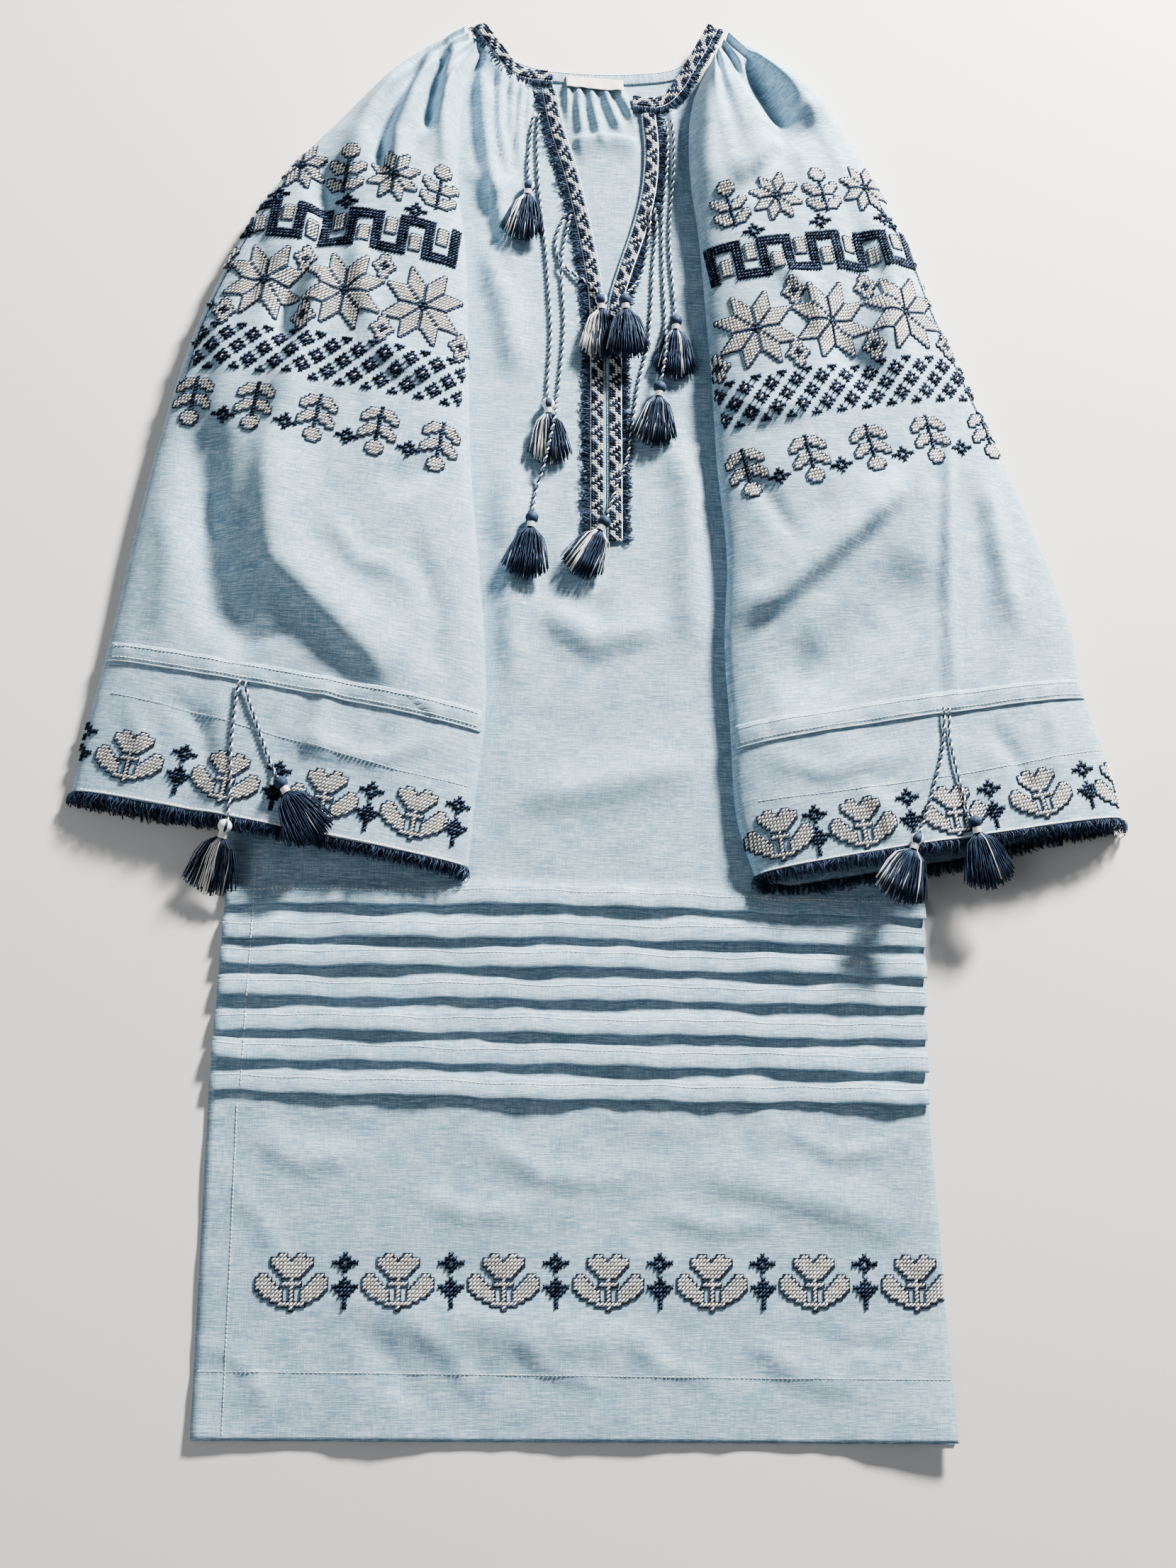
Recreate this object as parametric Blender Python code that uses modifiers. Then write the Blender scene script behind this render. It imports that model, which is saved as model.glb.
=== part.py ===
"""Embroidered linen dress laid flat on its back, with gathered raglan sleeves and tasselled cords.

Metres, +X to the right of the dress as it is looked at from above, +Y towards the neck, +Z up.
Every place below is measured from the middle of the hem, and HEM_MIDDLE then carries the whole
dress to where the middle of its box stands on the origin.
"""

import math

import bmesh
import bpy
from mathutils import Matrix, Vector
from mathutils.bvhtree import BVHTree

# Where the middle of the hem lies
HEM_MIDDLE = Vector((-0.0250, -0.5480, 0.0))

# Cloth and the room between pieces
CLOTH = 0.0012
GAP = 0.0003
FRONT_BASE = CLOTH + GAP
FRONT_TOP = FRONT_BASE + CLOTH
SLEEVE_BASE = FRONT_TOP + GAP

# Outline of the body, from the hem up: height, left edge, right edge
BODY_EDGES = (
    (0.000, -0.246, 0.256),
    (0.134, -0.246, 0.252),
    (0.227, -0.246, 0.248),
    (0.360, -0.242, 0.252),
    (0.560, -0.243, 0.250),
    (0.760, -0.241, 0.249),
    (0.800, -0.234, 0.243),
    (0.840, -0.214, 0.226),
    (1.000, -0.122, 0.149),
    (1.030, -0.105, 0.134),
    (1.062, -0.087, 0.118),
    (1.070, -0.083, 0.112),
)

# Neck of the front: across, up, for the left half and for the right half
NECK_LEFT = ((-0.087, 1.062), (-0.066, 1.042), (-0.050, 1.036), (-0.012, 1.033))
NECK_RIGHT = ((0.050, 1.019), (0.068, 1.017), (0.086, 1.030), (0.101, 1.050), (0.110, 1.070))
NECK_BEND = 0.890

# Slit of the front, down the V and then closed below its point
SLIT_X = 0.0241
SLIT_POINT = 0.846
HEM_LEVELS = (0.000, 0.041, 0.120, 0.190)
CHEST_LEVELS = (0.400, 0.470, 0.540, 0.610, 0.680, 0.750, 0.800, SLIT_POINT, 0.868,
                0.890, 0.925, 0.965, 1.005, 1.040)

# Columns of the front, as shares of the way from its side to the slit and on to its other side
LEFT_COLUMNS = (0.0, 0.22, 0.36, 0.46, 0.55, 0.64, 0.73, 0.82, 0.91, 1.0)
RIGHT_COLUMNS = (0.0, 0.09, 0.18, 0.28, 0.40, 0.55, 0.76, 1.0)

# Seven tucks, folded towards the hem
TUCK_COUNT = 7
TUCK_LOWEST = 0.2255
TUCK_PITCH = 0.0224
TUCK_DEPTH = 0.0125
TUCK_RISE = 0.0026

# Relief of the front where it shows: across, up, across, up, half width, height
BODY_FOLDS = (
    (-0.075, 0.885, -0.046, 0.790, 0.013, 0.0022),
    (-0.048, 0.700, -0.050, 0.520, 0.018, 0.0020),
    (-0.020, 0.585, 0.060, 0.575, 0.014, 0.0018),
    (0.086, 0.740, 0.088, 0.560, 0.013, 0.0020),
    (-0.040, 0.440, 0.085, 0.470, 0.016, 0.0016),
    (-0.150, 0.085, 0.050, 0.060, 0.020, 0.0016),
    (0.090, 0.175, 0.215, 0.150, 0.016, 0.0016),
)
# Where the front's hem stands off the back: across, width, height
HEM_LIFTS = (
    (-0.246, 0.030, 0.0020),
    (-0.130, 0.030, 0.0030),
    (0.020, 0.034, 0.0018),
    (0.256, 0.055, 0.0075),
)
HEM_LIFT_REACH = 0.085

# Gathers below the left neckband, between two heights, clear of the sleeve
GATHER_RISE = 0.0020
GATHER_LOW = 0.985
GATHER_HIGH = 1.028
GATHER_CLEAR = 0.020
GATHER_INNER = -0.034

# Sleeves, a row for each section from neck to cuff: inner edge, outer edge, height
LEFT_SECTIONS = (
    (-0.0770, 1.0560, -0.0925, 1.0795, 0.0125),
    (-0.0840, 1.0340, -0.1200, 1.0600, 0.0190),
    (-0.0890, 1.0050, -0.1520, 1.0290, 0.0235),
    (-0.0910, 0.9700, -0.1860, 0.9860, 0.0255),
    (-0.0910, 0.9300, -0.2260, 0.9340, 0.0270),
    (-0.0840, 0.8700, -0.2600, 0.8680, 0.0280),
    (-0.0810, 0.7900, -0.2880, 0.7900, 0.0280),
    (-0.0780, 0.7000, -0.3070, 0.7050, 0.0270),
    (-0.0700, 0.6100, -0.3200, 0.6300, 0.0250),
    (-0.0650, 0.5500, -0.3270, 0.5820, 0.0230),
    (-0.0640, 0.5000, -0.3330, 0.5440, 0.0215),
    (-0.0700, 0.4380, -0.3430, 0.4860, 0.0200),
    (-0.0745, 0.3850, -0.3510, 0.4330, 0.0180),
)
RIGHT_SECTIONS = (
    (0.1060, 1.0560, 0.1250, 1.0910, 0.0145),
    (0.0955, 1.0320, 0.1600, 1.0680, 0.0230),
    (0.0900, 1.0000, 0.1960, 1.0360, 0.0270),
    (0.0900, 0.9550, 0.2260, 0.9840, 0.0290),
    (0.0960, 0.9000, 0.2600, 0.9080, 0.0300),
    (0.1000, 0.8400, 0.2820, 0.8400, 0.0300),
    (0.1040, 0.7750, 0.3060, 0.7780, 0.0300),
    (0.1070, 0.7050, 0.3340, 0.7060, 0.0290),
    (0.1100, 0.6300, 0.3560, 0.6430, 0.0280),
    (0.1130, 0.5600, 0.3720, 0.5880, 0.0270),
    (0.1190, 0.4950, 0.3770, 0.5430, 0.0260),
    (0.1240, 0.4300, 0.3920, 0.4850, 0.0255),
    (0.1330, 0.3850, 0.4010, 0.4370, 0.0250),
)
SECTION_STATIONS = (0.0, 0.5, 1.0, 1.5, 2.0, 2.5, 3.0, 3.5, 4.0, 4.5, 5.0, 5.5, 6.0, 6.5,
                    7.0, 7.5, 8.0, 8.5, 9.0, 9.5, 10.0, 10.25, 11.1, 12.0)
CASING_STATIONS = (10.0, 10.25)
TOP_SPANS = 18
EDGE_LIFT = 0.28
DOME_POWER = 3.4
CONTACT_INSET = 0.045
ROUNDED_SHARE = 0.35
RELIEF_REACH = 6.4

# How far past the body's edge a sleeve's under layer leaves the body, and meets the floor
LEAVES_BODY = 0.008
MEETS_FLOOR = 0.026

# Shares of a sleeve's width: least on the floor, least on the slope down, points over the body
LEAST_ON_FLOOR = 0.02
LEAST_SLOPE = 0.03
UNDER_PARTS = (0.66, 0.33)

# Folds of the sleeves: across, up, across, up, half width, height
LEFT_FOLDS = (
    (-0.104, 1.050, -0.117, 0.985, 0.007, -0.0060),
    (-0.121, 1.040, -0.153, 0.940, 0.008, -0.0060),
    (-0.098, 1.050, -0.101, 0.960, 0.010, 0.0030),
    (-0.130, 1.010, -0.142, 0.930, 0.012, 0.0030),
    (-0.196, 0.940, -0.219, 0.780, 0.012, -0.0060),
    (-0.196, 0.860, -0.222, 0.716, 0.018, 0.0040),
    (-0.225, 0.690, -0.219, 0.605, 0.022, 0.0040),
    (-0.218, 0.605, -0.135, 0.520, 0.022, 0.0035),
    (-0.284, 0.700, -0.245, 0.555, 0.020, -0.0050),
    (-0.136, 0.672, -0.082, 0.713, 0.013, -0.0030),
)
RIGHT_FOLDS = (
    (0.139, 1.058, 0.166, 0.992, 0.011, -0.0090),
    (0.126, 0.945, 0.188, 1.016, 0.012, 0.0040),
    (0.112, 1.040, 0.100, 0.930, 0.013, 0.0030),
    (0.179, 1.012, 0.135, 0.955, 0.010, -0.0040),
    (0.214, 0.905, 0.204, 0.800, 0.013, -0.0050),
    (0.120, 0.600, 0.240, 0.715, 0.014, 0.0035),
    (0.125, 0.535, 0.280, 0.700, 0.014, 0.0035),
    (0.155, 0.524, 0.265, 0.640, 0.012, -0.0035),
    (0.285, 0.712, 0.272, 0.516, 0.008, 0.0025),
)

# Bands: across, up, height of the underside
NECKBAND_LEFT = ((-0.0180, 1.0430, 0.0031), (-0.0400, 1.0440, 0.0036), (-0.0520, 1.0490, 0.0060),
                 (-0.0660, 1.0650, 0.0095), (-0.0790, 1.0815, 0.0120))
NECKBAND_RIGHT = ((0.0460, 1.0250, 0.0031), (0.0680, 1.0250, 0.0036), (0.0820, 1.0370, 0.0060),
                  (0.0950, 1.0600, 0.0100), (0.1120, 1.0930, 0.0140))
NECKBAND_BACK = ((-0.0760, 1.0790, 0.0030), (-0.0600, 1.0600, 0.0015), (-0.0300, 1.0480, 0.0015),
                 (0.0100, 1.0460, 0.0015), (0.0500, 1.0490, 0.0015), (0.0850, 1.0580, 0.0015),
                 (0.1060, 1.0840, 0.0030))
NECKBAND_WIDTH = 0.0135
BACK_BAND_WIDTH = 0.0105
TRIM_LEFT = ((-0.0205, 1.0325), (-0.0150, 1.0010), (-0.0040, 0.9620), (0.0045, 0.9250),
             (0.0135, 0.8750), (0.0172, 0.8400), (0.0180, 0.7900), (0.0180, 0.7150), (0.0180, 0.6430))
TRIM_RIGHT = ((0.0580, 1.0160), (0.0605, 0.9840), (0.0580, 0.9460), (0.0500, 0.9100),
              (0.0380, 0.8700), (0.0312, 0.8400), (0.0302, 0.7900), (0.0302, 0.7150), (0.0302, 0.6430))
PLACKET_FOOT = 0.640
CUFF_FOOT = 0.375

# Where the front's folds fade out: beside the sleeves, beside the trims and under the placket
FADE_BY_SLEEVES = (0.004, 0.022)
FADE_BY_TRIMS = (0.002, 0.012)
FADE_UNDER_PLACKET = (0.0, 0.030)

# Lengths between the points of the bands
TRIM_STEP = 0.0130
BACK_BAND_STEP = 0.016
NECKBAND_STEP = 0.010
TRIM_WIDTH = 0.0114
TRIM_THICK = 0.0010
NOTCH_OVERLAP = 0.0012
LABEL_CENTRE = (0.0155, 1.0405)
LABEL_SIZE = (0.0460, 0.0120, 0.0007)

# Back, where it shows in the V: fractions across, and the gathers under its neckband
BACK_LEVELS = (0.000, 0.134, 0.227, 0.360, 0.560, 0.760, 0.800, 0.840, 0.880, 0.930,
               0.975, 0.992, 1.008, 1.026, 1.038, 1.050)
BACK_GATHER = 0.0018
GATHER_FULL = 1.020
GATHER_END = 1.032
BACK_FOLD_UP = 0.992
BACK_FOLD_RISE = 0.0030
BACK_FOLD_WIDTH = 0.010
BACK_FADE = (0.009, 0.017)
FINE_LEFT = -0.030
FINE_RIGHT = 0.072
FINE_SPANS = 10
BACK_TOP_EDGES = (-0.076, 0.106)

# Fringe: a narrow strip, and strands parted but for their roots
FRINGE_STRIP = 0.0016
FRINGE_THICK = 0.0008
FRINGE_LENGTH = 0.0068
CUFF_STRANDS = 34
STRAND_TAPER = 0.42
STRAND_UNEVEN = 0.14
STRAND_TURN = 2.4
STRAND_DROOP = 0.30
DROOP_FROM = (0.004, 0.010)
FRINGE_OUTSIDE = 2.0 * GAP

# Cords and their tassels
CORD_WIDTH = 0.0026
CORD_STEP = 3.0
CORD_CLEAR = 0.0005
CORD_SLOPE = 0.45
CORD_REACH = 1.6

# How the pile is felt for its highest place: directions, and shares of the reach
FEEL_TURNS = 12
FEEL_SHARES = (0.6, 1.0)

# How it is felt under a tassel: stations along, places to either side, and radii to the skirt
REST_STATIONS = 20
REST_SIDES = 5
REST_BALL = 3.0
HEAD_ROOM = 0.0006
STEEPEST = 0.55
HEAD_RADIUS = 0.0044
HEAD_CENTRE = HEAD_RADIUS + CORD_CLEAR
HEAD_STEPS = 4
WAIST_ROOM = 0.0006
WAIST_SHARE = 0.8
NECK_RADIUS = 0.0030
NECK_LENGTH = 0.0080
SKIRT_LENGTH = 0.0355
SKIRT_HALF_WIDTH = 0.0160
SKIRT_HALF_HEIGHT = 0.0040
TASSEL_STRANDS = 8
TASSEL_TURN = 3.1

# Strands of a tassel in two stages: how far along and how far spread, how thick against the root,
# and how much flatter than the root
STRAND_STAGES = (
    (0.40, 0.70, 1.9, 0.55),
    (1.00, 1.00, 2.6, 1.00),
)
STRAND_SPREAD = 0.78
STRAND_INSET = 0.0014
TASSEL_UNEVEN = 0.08

# Routes of the cords, across and up, from where each leaves the dress to its tassel's head,
# and then the middle of the tassel's lower end
CORD_ROUTES = (
    ("neck_left_short",
     ((-0.0325, 1.0090), (-0.0345, 0.9960), (-0.0360, 0.9790), (-0.0370, 0.9610), (-0.0360, 0.9440)),
     (-0.0430, 0.8870)),
    ("neck_left_long",
     ((-0.0285, 1.0090), (-0.0300, 0.9900), (-0.0290, 0.9510), (-0.0262, 0.9170), (-0.0225, 0.8850),
      (-0.0205, 0.8550), (-0.0185, 0.8210), (-0.0190, 0.7960), (-0.0205, 0.7750), (-0.0205, 0.7560)),
     (-0.0190, 0.7060)),
    ("eyelet_left_short",
     ((-0.0070, 0.9200), (-0.0120, 0.9080), (-0.0150, 0.8930), (-0.0120, 0.8780), (-0.0030, 0.8680),
      (0.0080, 0.8600), (0.0165, 0.8520), (0.0200, 0.8460)),
     (0.0200, 0.7950)),
    ("eyelet_left_long",
     ((-0.0035, 0.9190), (-0.0060, 0.9060), (-0.0090, 0.8890), (-0.0105, 0.8680), (-0.0085, 0.8330),
      (-0.0085, 0.8160), (-0.0100, 0.7920), (-0.0130, 0.7620), (-0.0160, 0.7380), (-0.0230, 0.7020),
      (-0.0290, 0.6800), (-0.0315, 0.6600)),
     (-0.0370, 0.6110)),
    ("neck_right_short",
     ((0.0765, 1.0080), (0.0780, 0.9900), (0.0775, 0.9570), (0.0750, 0.9270), (0.0740, 0.9000),
      (0.0755, 0.8700), (0.0770, 0.8500), (0.0780, 0.8330)),
     (0.0760, 0.7830)),
    ("neck_right_long",
     ((0.0725, 1.0080), (0.0735, 0.9900), (0.0720, 0.9570), (0.0690, 0.9250), (0.0685, 0.8950),
      (0.0690, 0.8600), (0.0700, 0.8300), (0.0690, 0.8000), (0.0650, 0.7740)),
     (0.0590, 0.7200)),
    ("eyelet_right_long",
     ((0.0625, 0.9290), (0.0640, 0.9110), (0.0620, 0.8900), (0.0605, 0.8700), (0.0595, 0.8450),
      (0.0560, 0.8080), (0.0490, 0.7760), (0.0445, 0.7440), (0.0395, 0.7100), (0.0310, 0.6860),
      (0.0240, 0.6600)),
     (0.0020, 0.6130)),
    ("eyelet_right_short",
     ((0.0585, 0.9290), (0.0585, 0.9100), (0.0560, 0.8900), (0.0520, 0.8700), (0.0450, 0.8550),
      (0.0370, 0.8430)),
     (0.0400, 0.7930)),
    ("cuff_left_outer",
     ((-0.2385, 0.5130), (-0.2400, 0.5000), (-0.2410, 0.4860), (-0.2420, 0.4600), (-0.2410, 0.4350),
      (-0.2420, 0.4110)),
     (-0.2560, 0.3580)),
    ("cuff_left_inner",
     ((-0.2345, 0.5120), (-0.2310, 0.4980), (-0.2260, 0.4850), (-0.2180, 0.4630), (-0.2090, 0.4420)),
     (-0.1810, 0.3980)),
    ("cuff_right_inner",
     ((0.2660, 0.5100), (0.2655, 0.4950), (0.2640, 0.4800), (0.2570, 0.4540), (0.2500, 0.4320),
      (0.2430, 0.4140)),
     (0.2240, 0.3640)),
    ("cuff_right_outer",
     ((0.2700, 0.5100), (0.2695, 0.4950), (0.2705, 0.4800), (0.2750, 0.4580), (0.2800, 0.4360),
      (0.2830, 0.4290)),
     (0.2960, 0.3770)),
)

# Points read between two rows of a path's table
SUBSTEPS = 12

# Colours, from the photograph: red, green, blue, roughness
LINEN = (0.42, 0.52, 0.60, 0.85)
LINEN_INSIDE = (0.36, 0.46, 0.54, 0.88)
NAVY = (0.035, 0.050, 0.095, 0.80)
CREAM = (0.60, 0.57, 0.50, 0.80)
BAND = (0.20, 0.22, 0.28, 0.80)


def clear_scene():
    for obj in list(bpy.data.objects):
        bpy.data.objects.remove(obj, do_unlink=True)


def make_material(name, colour):
    material = bpy.data.materials.new(name)
    material.use_nodes = True
    shader = material.node_tree.nodes["Principled BSDF"]
    shader.inputs["Base Color"].default_value = (colour[0], colour[1], colour[2], 1.0)
    shader.inputs["Roughness"].default_value = colour[3]
    shader.inputs["Metallic"].default_value = 0.0
    return material


def add_object(name, data, collection, material):
    obj = bpy.data.objects.new(name, data)
    obj.location = HEM_MIDDLE
    data.materials.append(material)
    collection.objects.link(obj)
    return obj


def mesh_from(bm, name):
    """Closes a bmesh's work: faces pointing out, smooth but for its sharp edges."""
    bmesh.ops.recalc_face_normals(bm, faces=bm.faces[:])
    mesh = bpy.data.meshes.new(name)
    bm.to_mesh(mesh)
    bm.free()
    mesh.shade_smooth()
    mesh.set_sharp_from_angle(angle=math.radians(50.0))
    return mesh


def catmull(a, b, c, d, t):
    """One number on the smooth curve from b to c."""
    return 0.5 * (2.0 * b + (c - a) * t + (2.0 * a - 5.0 * b + 4.0 * c - d) * t * t
                  + (3.0 * (b - c) + d - a) * t * t * t)


def row_at(rows, station):
    """A table's row at a station between its rows, every column on a smooth curve."""
    last = len(rows) - 1
    k = min(int(station), last - 1)
    before = rows[max(k - 1, 0)]
    after = rows[min(k + 2, last)]
    return tuple(catmull(a, b, c, d, station - k)
                 for a, b, c, d in zip(before, rows[k], rows[k + 1], after))


def smooth_path(rows, step):
    """Points about one step apart on the smooth curve through a table's rows."""
    fine = [Vector(row_at(rows, i / SUBSTEPS)) for i in range(SUBSTEPS * (len(rows) - 1) + 1)]
    length = sum((b - a).length for a, b in zip(fine, fine[1:]))
    count = max(2, round(length / step))
    points = [fine[0]]
    walked = 0.0
    for a, b in zip(fine, fine[1:]):
        stretch = (b - a).length
        while stretch > 0.0 and walked + stretch >= length * len(points) / count and len(points) < count:
            points.append(a.lerp(b, (length * len(points) / count - walked) / stretch))
        walked += stretch
    return points + [fine[-1]]


def read_table(rows, key, column):
    """A straight-line reading of a table whose first column rises."""
    if key <= rows[0][0]:
        return rows[0][column]
    for low, high in zip(rows, rows[1:]):
        if key <= high[0]:
            share = (key - low[0]) / (high[0] - low[0])
            return low[column] + share * (high[column] - low[column])
    return rows[-1][column]


def smooth_step(low, high, value):
    share = min(1.0, max(0.0, (value - low) / (high - low)))
    return share * share * (3.0 - 2.0 * share)


def fold_relief(x, y, folds):
    """Sum of soft ridges and troughs at a place."""
    total = 0.0
    here = Vector((x, y))
    for x0, y0, x1, y1, half_width, height in folds:
        start = Vector((x0, y0))
        run = Vector((x1, y1)) - start
        share = min(1.0, max(0.0, (here - start).dot(run) / run.length_squared))
        away = (here - start - run * share).length / half_width
        total += height * math.exp(-away * away)
    return total


def inner_edges(y):
    """Where the two sleeves' inner edges lie at one height of the dress."""
    left = read_table([(-row[1], row[0]) for row in LEFT_SECTIONS], -y, 1)
    right = read_table([(-row[1], row[0]) for row in RIGHT_SECTIONS], -y, 1)
    return left, right


def path_x(path, y):
    """Across, on a path that runs down the dress, at one height."""
    return read_table([(-row[1], row[0]) for row in path], -y, 1)


def notch_left(y):
    if y <= SLIT_POINT:
        return SLIT_X
    return min(SLIT_X, path_x(TRIM_LEFT, y) + TRIM_WIDTH / 2 - NOTCH_OVERLAP)


def notch_right(y):
    if y <= SLIT_POINT:
        return SLIT_X
    return max(SLIT_X, path_x(TRIM_RIGHT, y) - TRIM_WIDTH / 2 + NOTCH_OVERLAP)


def tuck_rise(y):
    """Height of the tucks: a steep fold edge below, sloping back up to its stitch line."""
    for k in range(TUCK_COUNT):
        edge = TUCK_LOWEST + k * TUCK_PITCH
        if edge <= y <= edge + TUCK_DEPTH:
            return TUCK_RISE * (1.0 - (y - edge) / TUCK_DEPTH)
    return 0.0


def hem_lift(x, y):
    """The front's hem stands off the back in a few shallow waves."""
    rise = sum(height * math.exp(-((x - middle) / width) ** 2) for middle, width, height in HEM_LIFTS)
    return rise * (1.0 - smooth_step(0.0, HEM_LIFT_REACH, y))


def shown_share(x, y):
    """One where the front shows and carries nothing, nought under sleeves and bands."""
    share = 1.0
    if y > CUFF_FOOT:
        left, right = inner_edges(y)
        share *= smooth_step(*FADE_BY_SLEEVES, x - left) * smooth_step(*FADE_BY_SLEEVES, right - x)
    if y > PLACKET_FOOT:
        trim_left = path_x(TRIM_LEFT, y) - TRIM_WIDTH / 2 - FRINGE_LENGTH
        trim_right = path_x(TRIM_RIGHT, y) + TRIM_WIDTH / 2 + FRINGE_LENGTH
        outside = max(trim_left - x, x - trim_right)
        share *= smooth_step(*FADE_BY_TRIMS, outside)
    else:
        share *= smooth_step(*FADE_UNDER_PLACKET, PLACKET_FOOT - y)
    return share


def front_base(x, y):
    return FRONT_BASE + hem_lift(x, y)


def front_top(x, y):
    return FRONT_TOP + hem_lift(x, y) + tuck_rise(y) + fold_relief(x, y, BODY_FOLDS) * shown_share(x, y)


def flat_grid(bm, columns, levels, place):
    """A flat sheet of faces, whose points place puts at an x and y for their column and level."""
    made = bmesh.ops.create_grid(bm, x_segments=columns, y_segments=len(levels) - 1, size=1.0)
    for vert in made["verts"]:
        column = round((vert.co.x + 1.0) / 2.0 * columns)
        row = round((vert.co.y + 1.0) / 2.0 * (len(levels) - 1))
        x, y = place(column, levels[row])
        vert.co = (x, y, 0.0)


def thicken(bm, base, top):
    """Turns a flat sheet of faces into a wall between two height functions."""
    flat = {vert: (vert.co.x, vert.co.y) for vert in bm.verts}
    made = bmesh.ops.extrude_face_region(bm, geom=bm.faces[:], use_keep_orig=True)
    for vert in flat:
        vert.co.z = base(*flat[vert])
    for part in made["geom"]:
        if isinstance(part, bmesh.types.BMVert):
            part.co.z = top(part.co.x, part.co.y)


def front_levels():
    """Heights of the front's rows: the hem, three rows to a tuck, and the chest."""
    levels = list(HEM_LEVELS)
    for k in range(TUCK_COUNT):
        edge = TUCK_LOWEST + k * TUCK_PITCH
        levels += [edge - GAP, edge, edge + TUCK_DEPTH]
    return levels + list(CHEST_LEVELS)


def neck_bend(x, y, neck):
    """Carries a level row of the front up to the curve of its neck."""
    share = max(0.0, (y - NECK_BEND) / (CHEST_LEVELS[-1] - NECK_BEND))
    return y + share * share * (read_table(neck, x, 1) - CHEST_LEVELS[-1])


def left_place(column, y):
    side = read_table(BODY_EDGES, neck_bend(NECK_LEFT[0][0], y, NECK_LEFT), 1)
    x = side + LEFT_COLUMNS[column] * (notch_left(y) - side)
    return x, neck_bend(x, y, NECK_LEFT)


def right_place(column, y):
    side = read_table(BODY_EDGES, neck_bend(NECK_RIGHT[-1][0], y, NECK_RIGHT), 2)
    slit = notch_right(y)
    x = slit + RIGHT_COLUMNS[column] * (side - slit)
    return x, neck_bend(x, y, NECK_RIGHT)


def front_gathers(bm):
    """Raises every other column just below the left neckband, where the gathers show."""
    for vert in bm.verts:
        if not GATHER_LOW < vert.co.y < GATHER_HIGH or vert.co.z < FRONT_TOP - GAP:
            continue
        side = read_table(BODY_EDGES, vert.co.y, 1)
        share = (vert.co.x - side) / (notch_left(vert.co.y) - side)
        column = min(range(len(LEFT_COLUMNS)), key=lambda k: abs(LEFT_COLUMNS[k] - share))
        left = inner_edges(vert.co.y)[0]
        if column % 2 == 1 and left + GATHER_CLEAR < vert.co.x < GATHER_INNER:
            vert.co.z += GATHER_RISE


def make_front(collection, material):
    bm = bmesh.new()
    levels = front_levels()
    flat_grid(bm, len(LEFT_COLUMNS) - 1, levels, left_place)
    flat_grid(bm, len(RIGHT_COLUMNS) - 1, levels, right_place)
    bmesh.ops.remove_doubles(bm, verts=bm.verts[:], dist=0.00001)
    thicken(bm, front_base, front_top)
    front_gathers(bm)
    return add_object("front_panel", mesh_from(bm, "front_panel"), collection, material)


def back_columns(y):
    """Across, for each of the back's columns: wide ones under the front, fine ones in the V."""
    if y >= BACK_LEVELS[-1]:
        side_left, side_right = BACK_TOP_EDGES
    else:
        side_left = read_table(BODY_EDGES, y, 1)
        side_right = read_table(BODY_EDGES, y, 2)
    fine = [FINE_LEFT + (FINE_RIGHT - FINE_LEFT) * i / FINE_SPANS for i in range(FINE_SPANS + 1)]
    left = [side_left, side_left + 0.5 * (FINE_LEFT - side_left)]
    right = [side_right + 0.5 * (FINE_RIGHT - side_right), side_right]
    return left + fine + right


def back_place(column, y):
    return back_columns(y)[column], y


def back_shown(x, y):
    """One in the middle of the V, nought under the front and its trims."""
    if y < SLIT_POINT:
        return 0.0
    left = path_x(TRIM_LEFT, y) + TRIM_WIDTH / 2
    right = path_x(TRIM_RIGHT, y) - TRIM_WIDTH / 2
    return smooth_step(*BACK_FADE, x - left) * smooth_step(*BACK_FADE, right - x)


def back_top(x, y):
    column = round((x - FINE_LEFT) / (FINE_RIGHT - FINE_LEFT) * FINE_SPANS)
    gather = BACK_GATHER * (column % 2) * smooth_step(GATHER_LOW, GATHER_FULL, y) * (y < GATHER_END)
    fold = BACK_FOLD_RISE * math.exp(-((y - BACK_FOLD_UP) / BACK_FOLD_WIDTH) ** 2)
    return CLOTH + (gather + fold) * back_shown(x, y)


def back_base(x, y):
    return 0.0


def make_back(collection, material):
    bm = bmesh.new()
    flat_grid(bm, FINE_SPANS + 4, BACK_LEVELS, back_place)
    thicken(bm, back_base, back_top)
    return add_object("back_panel", mesh_from(bm, "back_panel"), collection, material)


def sleeve_support(share, start, end, side):
    """Height of the sleeve's under layer: on the body, or down on the floor beyond it."""
    x = start.x + share * (end.x - start.x)
    y = start.y + share * (end.y - start.y)
    column = 1 if side < 0 else 2
    beyond = side * (x - read_table(BODY_EDGES, y, column))
    return GAP + (SLEEVE_BASE - GAP) * (1.0 - smooth_step(LEAVES_BODY, MEETS_FLOOR, beyond))


def edge_share(start, end, side, beyond):
    """How far along a section it stands a given distance beyond the body's edge."""
    column = 1 if side < 0 else 2
    low, high = 0.0, 1.0
    for _ in range(20):
        middle = 0.5 * (low + high)
        x = start.x + middle * (end.x - start.x)
        y = start.y + middle * (end.y - start.y)
        if side * (x - read_table(BODY_EDGES, y, column)) < beyond:
            low = middle
        else:
            high = middle
    return low


def dome(share):
    """How high the top layer stands at a share of the width, from edge to edge."""
    return math.sqrt(max(0.0, 1.0 - abs(2.0 * share - 1.0) ** DOME_POWER))


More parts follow.
